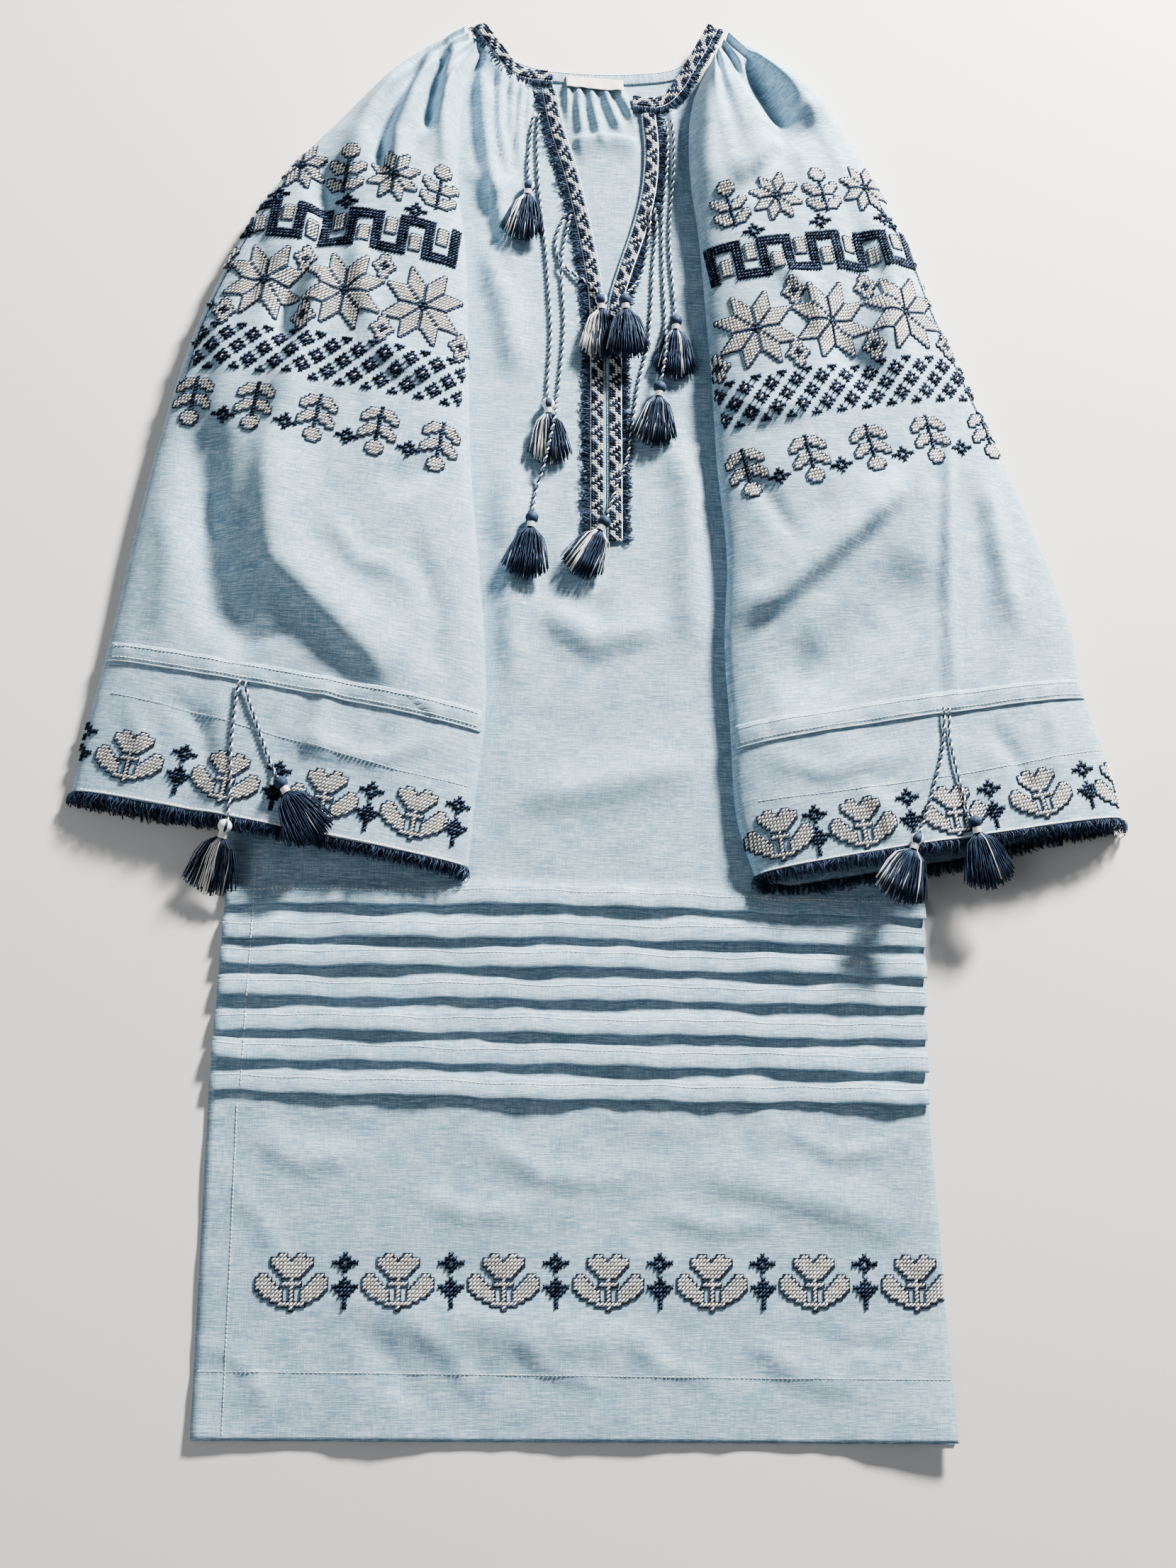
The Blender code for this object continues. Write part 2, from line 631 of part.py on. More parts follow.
def sleeve_ring(row, side, folds):
    """One closed section of a sleeve: over the top from the inner edge, and back underneath."""
    start = Vector((row[0], row[1]))
    end = Vector((row[2], row[3]))
    height = row[4]
    ring = []
    for i in range(TOP_SPANS + 1):
        rounded = 0.5 - 0.5 * math.cos(math.pi * i / TOP_SPANS)
        share = ROUNDED_SHARE * rounded + (1.0 - ROUNDED_SHARE) * i / TOP_SPANS
        spot = start.lerp(end, share)
        rise = height * (EDGE_LIFT + (1.0 - EDGE_LIFT) * dome(share))
        relief = fold_relief(spot.x, spot.y, folds) * min(1.0, RELIEF_REACH * share * (1.0 - share))
        ring.append(Vector((spot.x, spot.y, sleeve_support(share, start, end, side) + rise + relief)))
    touch_body = edge_share(start, end, side, LEAVES_BODY)
    touch_floor = edge_share(start, end, side, MEETS_FLOOR)
    last = 1.0 - CONTACT_INSET
    touch_floor = min(touch_floor, last - LEAST_ON_FLOOR)
    touch_body = min(touch_body, touch_floor - LEAST_SLOPE)
    shares = (last, 0.5 * (last + touch_floor), touch_floor, touch_body,
              *(part * touch_body for part in UNDER_PARTS), CONTACT_INSET)
    for share in shares:
        spot = start.lerp(end, share)
        ring.append(Vector((spot.x, spot.y, sleeve_support(share, start, end, side))))
    return ring


def loft(bm, rings):
    """Joins rings of equal count into an open tube."""
    rows = [[bm.verts.new(point) for point in ring] for ring in rings]
    count = len(rings[0])
    for row, following in zip(rows, rows[1:]):
        for i in range(count):
            j = (i + 1) % count
            bm.faces.new((row[i], row[j], following[j], following[i]))


def make_sleeve(name, sections, side, folds, collection, material):
    rings = [sleeve_ring(row_at(sections, station), side, folds) for station in SECTION_STATIONS]
    bm = bmesh.new()
    loft(bm, rings)
    obj = add_object(name, mesh_from(bm, name), collection, material)
    wall = obj.modifiers.new("Wall", "SOLIDIFY")
    wall.thickness = CLOTH
    wall.offset = -1.0
    return obj


def make_casing(name, sections, side, folds, collection, material):
    """The channel over the sleeve's top, made from the sleeve's own points, moved out."""
    bm = bmesh.new()
    rows = []
    for station in CASING_STATIONS:
        ring = sleeve_ring(row_at(sections, station), side, folds)
        rows.append([point + Vector((0.0, 0.0, GAP)) for point in ring[1:TOP_SPANS]])
    lower = [[bm.verts.new(point) for point in row] for row in rows]
    upper = [[bm.verts.new(point + Vector((0.0, 0.0, TRIM_THICK))) for point in row] for row in rows]
    for i in range(TOP_SPANS - 2):
        bm.faces.new((lower[0][i], lower[0][i + 1], lower[1][i + 1], lower[1][i]))
        bm.faces.new((upper[0][i], upper[0][i + 1], upper[1][i + 1], upper[1][i]))
        for k in (0, 1):
            bm.faces.new((lower[k][i], lower[k][i + 1], upper[k][i + 1], upper[k][i]))
    for i in (0, TOP_SPANS - 2):
        bm.faces.new((lower[0][i], lower[1][i], upper[1][i], upper[0][i]))
    return add_object(name, mesh_from(bm, name), collection, material)


def ribbon(name, points, width, thick, collection, material):
    """A flat strip along a path that is given at its underside."""
    bm = bmesh.new()
    bmesh.ops.create_grid(bm, x_segments=1, y_segments=len(points) - 1, size=1.0)
    verts = list(bm.verts)
    for vert in verts:
        row = round((vert.co.y + 1.0) / 2.0 * (len(points) - 1))
        before = points[max(row - 1, 0)]
        after = points[min(row + 1, len(points) - 1)]
        run = (after - before).to_2d().normalized()
        aside = 0.5 * width * (1.0 if vert.co.x > 0.0 else -1.0)
        vert.co = points[row] + Vector((-run.y * aside, run.x * aside, 0.0))
    made = bmesh.ops.extrude_face_region(bm, geom=bm.faces[:], use_keep_orig=True)
    for part in made["geom"]:
        if isinstance(part, bmesh.types.BMVert):
            part.co.z += thick
    return add_object(name, mesh_from(bm, name), collection, material)


def comb(name, roots, outs, ups, length, closed, collection, material):
    """A narrow strip with a strand drawn out of each of its cells."""
    bm = bmesh.new()
    rows = []
    for root, out, up in zip(roots, outs, ups):
        half = up * (0.5 * FRINGE_THICK)
        rim = root + out * FRINGE_STRIP
        rows.append([bm.verts.new(p) for p in (root - half, root + half, rim + half, rim - half)])
    cells = []
    pairs = list(zip(rows, rows[1:] + rows[:1])) if closed else list(zip(rows, rows[1:]))
    for row, following in pairs:
        for i in range(4):
            j = (i + 1) % 4
            face = bm.faces.new((row[i], row[j], following[j], following[i]))
            if i == 2:
                cells.append(face)
    if not closed:
        bm.faces.new(rows[0])
        bm.faces.new(rows[-1])
    bmesh.ops.recalc_face_normals(bm, faces=bm.faces[:])
    tips = bmesh.ops.extrude_discrete_faces(bm, faces=cells)["faces"]
    for k, face in enumerate(tips):
        middle = face.calc_center_median()
        out = (outs[k] + outs[(k + 1) % len(outs)]).normalized()
        reach = out * (length * (1.0 - STRAND_UNEVEN * (1.0 - math.sin(STRAND_TURN * k))))
        for vert in face.verts:
            vert.co = middle + (vert.co - middle) * STRAND_TAPER + reach
            vert.co.z = max(vert.co.z, GAP)
    return add_object(name, mesh_from(bm, name), collection, material)


def make_cuff_fringe(name, sections, side, folds, collection, material):
    """Fringe right round the cuff, hung just outside the end of the sleeve's wall."""
    station = SECTION_STATIONS[-1]
    ring = sleeve_ring(row_at(sections, station), side, folds)
    centre = sum(ring, Vector()) / len(ring)
    closed = [Vector(point) for point in ring + ring[:1]]
    path = even_points(closed, CUFF_STRANDS)[:-1]
    inner_x, inner_y, outer_x, outer_y, _ = sections[-1]
    run = Vector((outer_x - inner_x, outer_y - inner_y)).normalized()
    axis = Vector((run.y, -run.x, 0.0)) * side
    roots, outs, ups = [], [], []
    for k, point in enumerate(path):
        tangent = (path[(k + 1) % len(path)] - path[k - 1]).normalized()
        up = axis.cross(tangent).normalized()
        if up.dot(point - centre) < 0.0:
            up = -up
        on_top = smooth_step(*DROOP_FROM, point.z)
        roots.append(point - up * (0.5 * CLOTH) + axis * FRINGE_OUTSIDE)
        outs.append((axis - Vector((0.0, 0.0, STRAND_DROOP * on_top))).normalized())
        ups.append(up)
    return comb(name, roots, outs, ups, FRINGE_LENGTH, True, collection, material)


def even_points(points, count):
    """Points spread evenly along a line of straight runs, ends included."""
    length = sum((b - a).length for a, b in zip(points, points[1:]))
    spread = [points[0]]
    walked = 0.0
    for a, b in zip(points, points[1:]):
        stretch = (b - a).length
        while len(spread) < count and walked + stretch >= length * len(spread) / count:
            spread.append(a.lerp(b, (length * len(spread) / count - walked) / stretch))
        walked += stretch
    return spread + [points[-1]]


def trim_points(path):
    return smooth_path([row + (SLEEVE_BASE,) for row in path], TRIM_STEP)


def make_trim_fringe(name, path, side, collection, material):
    """Fringe on the outer side of a V band, lying on the front."""
    points = trim_points(path)
    height = SLEEVE_BASE + 0.5 * FRINGE_THICK
    roots, outs, ups = [], [], []
    for k, point in enumerate(points):
        run = (points[min(k + 1, len(points) - 1)] - points[max(k - 1, 0)]).to_2d().normalized()
        out = Vector((run.y, -run.x, 0.0)) * -side
        away = 0.5 * TRIM_WIDTH + GAP
        roots.append(Vector((point.x, point.y, height)) + out * away)
        outs.append(out)
        ups.append(Vector((0.0, 0.0, 1.0)))
    return comb(name, roots, outs, ups, FRINGE_LENGTH - FRINGE_STRIP, False, collection, material)


def make_band(name, rows, width, thick, step, collection, material):
    return ribbon(name, smooth_path(rows, step), width, thick, collection, material)


def make_trim(name, path, collection, material):
    return ribbon(name, trim_points(path), TRIM_WIDTH, TRIM_THICK, collection, material)


def make_label(collection, material):
    bm = bmesh.new()
    bmesh.ops.create_cube(bm, size=1.0)
    low = SLEEVE_BASE
    for vert in bm.verts:
        vert.co.x = LABEL_CENTRE[0] + vert.co.x * LABEL_SIZE[0]
        vert.co.y = LABEL_CENTRE[1] + vert.co.y * LABEL_SIZE[1]
        vert.co.z = low + (vert.co.z + 0.5) * LABEL_SIZE[2]
    return add_object("label", mesh_from(bm, "label"), collection, material)


class Pile:
    """What lies on the surface so far, as a pile that the next cord or tassel rests on."""

    def __init__(self):
        self.trees = []

    def add(self, obj):
        depsgraph = bpy.context.evaluated_depsgraph_get()
        mesh = bpy.data.meshes.new_from_object(obj.evaluated_get(depsgraph))
        place = obj.matrix_world
        verts = [place @ vert.co for vert in mesh.vertices]
        faces = [tuple(face.vertices) for face in mesh.polygons]
        self.trees.append(BVHTree.FromPolygons(verts, faces))
        bpy.data.meshes.remove(mesh)

    def height(self, x, y):
        """Top of the pile at one place, measured from the hem's middle."""
        start = Vector((x, y, 0.5)) + HEM_MIDDLE
        top = 0.0
        for tree in self.trees:
            hit = tree.ray_cast(start, Vector((0.0, 0.0, -1.0)))[0]
            if hit is not None:
                top = max(top, hit.z)
        return top

    def highest(self, x, y, reach):
        """Highest place of the pile within a short reach."""
        around = [self.height(x, y)]
        for k in range(FEEL_TURNS):
            turn = math.tau * k / FEEL_TURNS
            for share in FEEL_SHARES:
                around.append(self.height(x + share * reach * math.cos(turn),
                                          y + share * reach * math.sin(turn)))
        return max(around)


def eased_heights(points, needed, slope):
    """Raises heights so that no neighbouring points differ by more than a slope allows."""
    heights = list(needed)
    for order in (range(1, len(points)), range(len(points) - 2, -1, -1)):
        for k in order:
            other = k - 1 if order.step > 0 else k + 1
            run = (points[k] - points[other]).length
            heights[k] = max(heights[k], heights[other] - slope * run)
    return heights


def lay_cord(route, head_height, pile):
    """Points of a cord along a route, resting on whatever lies beneath it."""
    radius = CORD_WIDTH / 2.0
    flat = smooth_path(route, CORD_STEP * CORD_WIDTH)
    needed = []
    for k, spot in enumerate(flat):
        near = [spot, spot.lerp(flat[max(k - 1, 0)], 0.5), spot.lerp(flat[min(k + 1, len(flat) - 1)], 0.5)]
        needed.append(max(pile.highest(p.x, p.y, CORD_REACH * radius) for p in near) + radius + CORD_CLEAR)
    needed[-1] = head_height
    heights = eased_heights(flat, needed, CORD_SLOPE)
    return [Vector((spot.x, spot.y, height)) for spot, height in zip(flat, heights)]


def make_cord(name, points, collection, material):
    curve = bpy.data.curves.new(name, "CURVE")
    curve.dimensions = "3D"
    curve.bevel_depth = CORD_WIDTH / 2.0
    curve.bevel_resolution = 2
    curve.use_fill_caps = True
    spline = curve.splines.new("POLY")
    spline.points.add(len(points) - 1)
    for point, spot in zip(spline.points, points):
        point.co = (spot.x, spot.y, spot.z, 1.0)
    return add_object(name, curve, collection, material)


def tassel_mesh(name):
    """A ball, a bound neck and strands parted from each other, lying along -Y from the ball."""
    bm = bmesh.new()
    profile = []
    for i in range(1, HEAD_STEPS):
        turn = math.pi * i / HEAD_STEPS
        profile.append((HEAD_RADIUS * math.cos(turn), HEAD_RADIUS * math.sin(turn)))
    waist = WAIST_SHARE * NECK_RADIUS
    neck = -math.sqrt(HEAD_RADIUS ** 2 - waist ** 2) - WAIST_ROOM
    profile.append((neck, waist))
    profile.append((neck - NECK_LENGTH, NECK_RADIUS))
    rows = []
    for along, radius in profile:
        ring = []
        for k in range(TASSEL_STRANDS):
            turn = math.tau * (k + 0.5) / TASSEL_STRANDS
            ring.append(bm.verts.new((radius * math.cos(turn), along, radius * math.sin(turn))))
        rows.append(ring)
    crown = bm.verts.new((0.0, HEAD_RADIUS, 0.0))
    heart = bm.verts.new((0.0, profile[-1][0], 0.0))
    roots = []
    for k in range(TASSEL_STRANDS):
        j = (k + 1) % TASSEL_STRANDS
        bm.faces.new((crown, rows[0][k], rows[0][j]))
        for row, following in zip(rows, rows[1:]):
            bm.faces.new((row[k], following[k], following[j], row[j]))
        roots.append(bm.faces.new((heart, rows[-1][j], rows[-1][k])))
    bmesh.ops.recalc_face_normals(bm, faces=bm.faces[:])
    draw_strands(bm, roots, profile[-1][0])
    return mesh_from(bm, name)


def draw_strands(bm, roots, root_along):
    """Draws each root out in two stages, spreading into a flattened fan."""
    faces = roots
    before = 1.0
    for along, spread, size, flatness in STRAND_STAGES:
        faces = bmesh.ops.extrude_discrete_faces(bm, faces=faces)["faces"]
        for k, face in enumerate(faces):
            turn = math.tau * (k + 1.0) / TASSEL_STRANDS
            uneven = 1.0 - TASSEL_UNEVEN * (1.0 - math.sin(TASSEL_TURN * k))
            middle = face.calc_center_median()
            target = Vector((
                spread * STRAND_SPREAD * SKIRT_HALF_WIDTH * math.cos(turn),
                root_along - SKIRT_LENGTH * along * uneven,
                spread * (SKIRT_HALF_HEIGHT - STRAND_INSET) * math.sin(turn),
            ))
            for vert in face.verts:
                offset = (vert.co - middle) * (size / before)
                offset.y = 0.0
                offset.z *= flatness
                vert.co = target + offset
        before = size


def tassel_rest(head, run, pile, least):
    """Base under the head, at least a given height, and the slope at which a tassel rests."""
    whole = 2.0 * HEAD_RADIUS + NECK_LENGTH + SKIRT_LENGTH
    stations = []
    for i in range(REST_STATIONS + 1):
        along = whole * i / REST_STATIONS
        half = HEAD_RADIUS if along < 2.0 * HEAD_RADIUS + NECK_LENGTH else SKIRT_HALF_WIDTH
        tops = []
        for k in range(-REST_SIDES, REST_SIDES + 1):
            spot = head + run * along + Vector((-run.y, run.x)) * (half * k / REST_SIDES)
            tops.append(pile.height(spot.x, spot.y))
        stations.append((along, max(tops)))
    base = max([least] + [top for along, top in stations if along <= 2.0 * HEAD_RADIUS])
    slopes = [(top - base) / (along - 2.0 * HEAD_RADIUS) for along, top in stations
              if along > REST_BALL * HEAD_RADIUS]
    slope = max(slopes)
    if slope > 0.0:
        return max(top for along, top in stations), 0.0
    return base, max(slope, -STEEPEST)


def make_tassel(name, head, run, base, slope, collection, material):
    """A tassel lying from where its cord ends, along a run that falls at a slope."""
    obj = add_object(name, tassel_mesh(name), collection, material)
    down = Vector((run.x, run.y, slope)).normalized()
    across = Vector((-run.y, run.x, 0.0))
    turn = Matrix((-across, -down, across.cross(down))).transposed()
    centre = head + run * (HEAD_RADIUS + HEAD_ROOM)
    obj.location = HEM_MIDDLE + Vector((centre.x, centre.y, base + HEAD_CENTRE))
    obj.rotation_euler = turn.to_euler()
    return obj


def lay_cord_and_tassel(name, route, lower_end, pile, collection, material):
    """A cord laid on the pile, and its tassel's ball where the cord ends."""
    head = Vector(route[-1])
    run = (Vector(lower_end) - head).normalized()
    base = tassel_rest(head, run, pile, 0.0)[0]
    points = lay_cord(route, base + HEAD_CENTRE, pile)
    base, slope = tassel_rest(head, run, pile, points[-1].z - HEAD_CENTRE)
    tassel = make_tassel("tassel_" + name, head, run, base, slope, collection, material)
    cord = make_cord("cord_" + name, points, collection, material)
    return tassel, cord


def main():
    clear_scene()
    collection = bpy.data.collections.new("linen_dress")
    bpy.context.scene.collection.children.link(collection)
    linen = make_material("linen", LINEN)
    inside = make_material("linen_inside", LINEN_INSIDE)
    navy = make_material("navy_thread", NAVY)
    cream = make_material("label_cream", CREAM)
    band = make_material("stitched_band", BAND)

    pile = Pile()
    pieces = [
        make_back(collection, inside),
        make_front(collection, linen),
        make_sleeve("sleeve_left", LEFT_SECTIONS, -1, LEFT_FOLDS, collection, linen),
        make_sleeve("sleeve_right", RIGHT_SECTIONS, 1, RIGHT_FOLDS, collection, linen),
        make_casing("casing_left", LEFT_SECTIONS, -1, LEFT_FOLDS, collection, linen),
        make_casing("casing_right", RIGHT_SECTIONS, 1, RIGHT_FOLDS, collection, linen),
        make_cuff_fringe("cuff_fringe_left", LEFT_SECTIONS, -1, LEFT_FOLDS, collection, navy),
        make_cuff_fringe("cuff_fringe_right", RIGHT_SECTIONS, 1, RIGHT_FOLDS, collection, navy),
        make_band("neckband_back", NECKBAND_BACK, BACK_BAND_WIDTH, CLOTH, BACK_BAND_STEP, collection, inside),
        make_band("neckband_left", NECKBAND_LEFT, NECKBAND_WIDTH, CLOTH, NECKBAND_STEP, collection, band),
        make_band("neckband_right", NECKBAND_RIGHT, NECKBAND_WIDTH, CLOTH, NECKBAND_STEP, collection, band),
        make_trim("trim_left", TRIM_LEFT, collection, band),
        make_trim("trim_right", TRIM_RIGHT, collection, band),
        make_trim_fringe("trim_fringe_left", TRIM_LEFT, -1, collection, navy),
        make_trim_fringe("trim_fringe_right", TRIM_RIGHT, 1, collection, navy),
        make_label(collection, cream),
    ]
    bpy.context.view_layer.update()
    for piece in pieces:
        pile.add(piece)
    for name, route, lower_end in CORD_ROUTES:
        laid = lay_cord_and_tassel(name, route, lower_end, pile, collection, navy)
        bpy.context.view_layer.update()
        for piece in laid:
            pile.add(piece)


main()
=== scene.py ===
"""Looks of an embroidered linen dress laid flat: cloth, stitches, cords, tassels and fringe.

Laid out as an add-on and run as a script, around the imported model. Places in the tables are
measured from the middle of the hem: across to the right, and up towards the neck.
"""

import math
import random

import bmesh
import bpy
import numpy as np
from bpy.props import FloatProperty, FloatVectorProperty, IntProperty, PointerProperty
from mathutils import Matrix, Vector, noise
from mathutils.bvhtree import BVHTree


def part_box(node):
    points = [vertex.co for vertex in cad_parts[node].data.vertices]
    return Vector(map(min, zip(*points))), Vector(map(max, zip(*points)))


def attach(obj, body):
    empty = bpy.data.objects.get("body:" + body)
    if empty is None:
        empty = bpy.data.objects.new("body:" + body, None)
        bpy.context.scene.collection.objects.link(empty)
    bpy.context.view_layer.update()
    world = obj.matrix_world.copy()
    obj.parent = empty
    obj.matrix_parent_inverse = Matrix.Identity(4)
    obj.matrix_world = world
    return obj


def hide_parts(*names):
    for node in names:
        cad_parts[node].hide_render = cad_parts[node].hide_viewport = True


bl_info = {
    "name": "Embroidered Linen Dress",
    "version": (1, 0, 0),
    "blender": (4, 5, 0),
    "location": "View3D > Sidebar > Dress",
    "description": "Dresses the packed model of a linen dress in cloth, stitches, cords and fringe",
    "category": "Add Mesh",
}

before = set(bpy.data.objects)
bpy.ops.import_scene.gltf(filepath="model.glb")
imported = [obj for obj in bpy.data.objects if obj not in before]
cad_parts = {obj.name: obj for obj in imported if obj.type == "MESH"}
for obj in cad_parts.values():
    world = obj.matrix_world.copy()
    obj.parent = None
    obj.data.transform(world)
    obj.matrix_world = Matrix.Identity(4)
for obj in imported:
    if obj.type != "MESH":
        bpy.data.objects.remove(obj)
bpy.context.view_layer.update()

# Where the middle of the hem lies in the frame
HEM_LEFT = -0.246
HEM_MIDDLE = Vector((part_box("front_panel")[0][0] - HEM_LEFT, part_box("front_panel")[0][1], 0.0))

# A millimetre, the way up, a height over everything, and the two sides
MM = 0.001
UP = Vector((0.0, 0.0, 1.0))
SKY = 0.3
SIDES = ("left", "right")

# How near points are welded, the turn that leaves an edge sharp, and the weave's threads to a metre
WELD_WRAP = 0.000001
WELD_PARTS = 0.000002
SHARP_EDGE = math.radians(60.0)
WEAVE_PITCH = 5200.0

# Levels of the cloth
WALL = 0.0006
BACK_TOP = 0.0012
FRONT_TOP = 0.0027
SLEEVE_BASE = 0.0030
FLOOR_GAP = 0.0003

# Outline of the body, from the hem up: height, left edge, right edge
BODY_EDGES = (
    (0.000, -0.246, 0.256),
    (0.134, -0.246, 0.252),
    (0.227, -0.246, 0.248),
    (0.360, -0.242, 0.252),
    (0.560, -0.243, 0.250),
    (0.760, -0.241, 0.249),
    (0.800, -0.234, 0.243),
    (0.840, -0.214, 0.226),
    (1.000, -0.122, 0.149),
    (1.030, -0.105, 0.134),
    (1.062, -0.087, 0.118),
    (1.070, -0.083, 0.112),
)
NECK_LEFT = ((-0.087, 1.074), (-0.074, 1.068), (-0.062, 1.056), (-0.050, 1.043), (-0.012, 1.037))
NECK_RIGHT = ((0.050, 1.019), (0.068, 1.017), (0.086, 1.030), (0.101, 1.050), (0.110, 1.070))

# Where the front bends to the neck, its gap under a band, where its slit, placket, cuffs and
# gathers lie, and how far the edges of the V lap
NECK_BEND = 0.890
NECK_LEVEL = 1.040
NECK_CLIMB = 0.030
UNDER_BAND = 0.0006
LEAST_GAP = 0.0002
SLIT_X = 0.0241
SLIT_POINT = 0.846
PLACKET_FOOT = 0.640
CUFF_FOOT = 0.375
GATHERS_FOOT = 0.86
V_LAP = 0.0012

# Rows and columns of the front and back: from, to, how many
ROWS_BELOW_TUCKS = ((0.0, 0.012, 5), (0.016, 0.220, 44))
ROWS_ABOVE_TUCKS = ((0.384, 0.930, 84), (0.9335, NECK_LEVEL, 32))
FRONT_COLUMNS = {"left": 52, "right": 44}
BACK_ROWS = ((0.0, 0.840, 22), (0.846, 0.965, 34), (0.967, 1.050, 48))
BACK_NECK = (-0.076, 0.106)
BACK_PLEATED = (-0.030, 0.072, 70)
BACK_PLAIN = (-0.032, 0.074, 10)

# Where relief fades out beside what lies on the cloth: from nought, to whole
BESIDE_SLEEVE = (0.004, 0.022)
BESIDE_FRINGE = (0.002, 0.012)
BELOW_PLACKET = (0.0, 0.030)
BESIDE_TRIM = (0.002, 0.009)
GATHERS_BESIDE_SLEEVE = (-0.001, 0.007)
GATHERS_BESIDE_FRINGE = (0.0, 0.006)

# Crumples: where the quieter ones begin, their share, and what a tuck keeps of relief and crumples;
# and how far the side edges roll down
CRUMPLED_BELOW = 0.40
QUIETER = 0.35
TUCK_RELIEF = 0.4
TUCK_CRUMPLE = 0.3
EDGE_ROLL = 0.0005
TUCK_ROLL = 0.0003
ROLL_REACH = 0.003

# Tucks from the lowest up: height of the fold edge at the left, in the middle and at the right
TUCK_EDGES = (
    (0.2260, 0.2240, 0.2260),
    (0.2480, 0.2480, 0.2480),
    (0.2680, 0.2700, 0.2710),
    (0.2910, 0.2940, 0.2950),
    (0.3130, 0.3170, 0.3160),
    (0.3320, 0.3380, 0.3380),
    (0.3560, 0.3620, 0.3590),
)

# Tucks: their stitch line over the fold edge, their rise, where their heights are given, and waves
TUCK_STITCH = 0.0106
TUCK_RISE = 0.0042
TUCK_SPAN = (-0.246, 0.0, 0.252)
TUCK_WAVE = 0.0006
TUCK_RIPPLE = 0.0005

# Section of a tuck along the cloth, from below: how far from its fold edge, and how high above
# the cloth under it as shares of the tuck's rise
TUCK_PROFILE = (
    (-0.0014, 0.00), (0.0040, 0.00), (0.0110, 0.00), (0.0121, 0.04), (0.0112, 0.10), (0.0060, 0.22),
    (0.0012, 0.40), (0.0001, 0.54), (-0.0002, 0.74), (0.0001, 0.90), (0.0008, 0.97), (0.0040, 0.93),
    (0.0085, 0.80), (0.0112, 0.62), (0.0121, 0.50), (0.0130, 0.52), (0.0145, 0.32), (0.0158, 0.08),
)

# Sleeves, a row for each section from neck to cuff: inner edge, outer edge, height
LEFT_SECTIONS = (
    (-0.0770, 1.0560, -0.0925, 1.0795, 0.0125),
    (-0.0840, 1.0340, -0.1200, 1.0600, 0.0190),
    (-0.0890, 1.0050, -0.1520, 1.0290, 0.0235),
    (-0.0910, 0.9700, -0.1860, 0.9860, 0.0255),
    (-0.0910, 0.9300, -0.2260, 0.9340, 0.0270),
    (-0.0840, 0.8700, -0.2600, 0.8680, 0.0280),
    (-0.0810, 0.7900, -0.2880, 0.7900, 0.0280),
    (-0.0780, 0.7000, -0.3070, 0.7050, 0.0270),
    (-0.0700, 0.6100, -0.3200, 0.6300, 0.0250),
    (-0.0650, 0.5500, -0.3270, 0.5820, 0.0230),
    (-0.0640, 0.5000, -0.3330, 0.5440, 0.0215),
    (-0.0700, 0.4380, -0.3430, 0.4860, 0.0200),
    (-0.0745, 0.3850, -0.3510, 0.4330, 0.0180),
)
RIGHT_SECTIONS = (
    (0.1060, 1.0560, 0.1250, 1.0910, 0.0145),
    (0.0955, 1.0320, 0.1600, 1.0680, 0.0230),
    (0.0900, 1.0000, 0.1960, 1.0360, 0.0270),
    (0.0900, 0.9550, 0.2260, 0.9840, 0.0290),
    (0.0960, 0.9000, 0.2600, 0.9080, 0.0300),
    (0.1000, 0.8400, 0.2820, 0.8400, 0.0300),
    (0.1040, 0.7750, 0.3060, 0.7780, 0.0300),
    (0.1070, 0.7050, 0.3340, 0.7060, 0.0290),
    (0.1130, 0.6300, 0.3560, 0.6430, 0.0280),
    (0.1100, 0.5600, 0.3720, 0.5880, 0.0270),
    (0.1130, 0.4950, 0.3770, 0.5430, 0.0260),
    (0.1160, 0.4300, 0.3920, 0.4850, 0.0255),
    (0.1285, 0.3850, 0.4010, 0.4370, 0.0250),
)

# Where the casings lie, and how a section of a sleeve is shaped and lies on the body and the floor
CASING_STATIONS = (10.0, 10.25)
EDGE_LIFT = 0.28
DOME_POWER = 3.4
CONTACT_INSET = 0.045
ROUNDED_SHARE = 0.35
RELIEF_REACH = 6.4
LEAVES_BODY = 0.008
MEETS_FLOOR = 0.026
TOP_COLUMNS = 70
GATHERED_ROWS = 46
PLAIN_ROWS = 98
UNDER_REACH = {"left": -0.0060, "right": 0.0090}
UNDER_WINDOW = ((-0.02, 0.10), (0.50, 0.85))
UNDER_STATIONS = (11.0, 12.0)

# Gathers at a sleeve's top
PLEAT_DEPTH = 0.0042
PLEAT_REACH = 1.4
PLEATS_ACROSS = 5.0
FINE_PLEATS = 8.7
GATHERED_TO = 3.0

# Casings: how far they go past their stitches, lie over the sleeve, puff and pucker
CASING_ROWS = 13
CASING_ROUNDED = 0.6
PUCKER_PITCH = 0.31
CASING_LAP = 0.01
CASING_LIFT = 0.0006
CASING_PUFF = 0.0014
CASING_PUCKER = 0.0013
CASING_WALL = 0.0004

# How deep the creases of the tables are drawn
SLEEVE_DEPTH = 2.2
BODY_DEPTH = 2.2

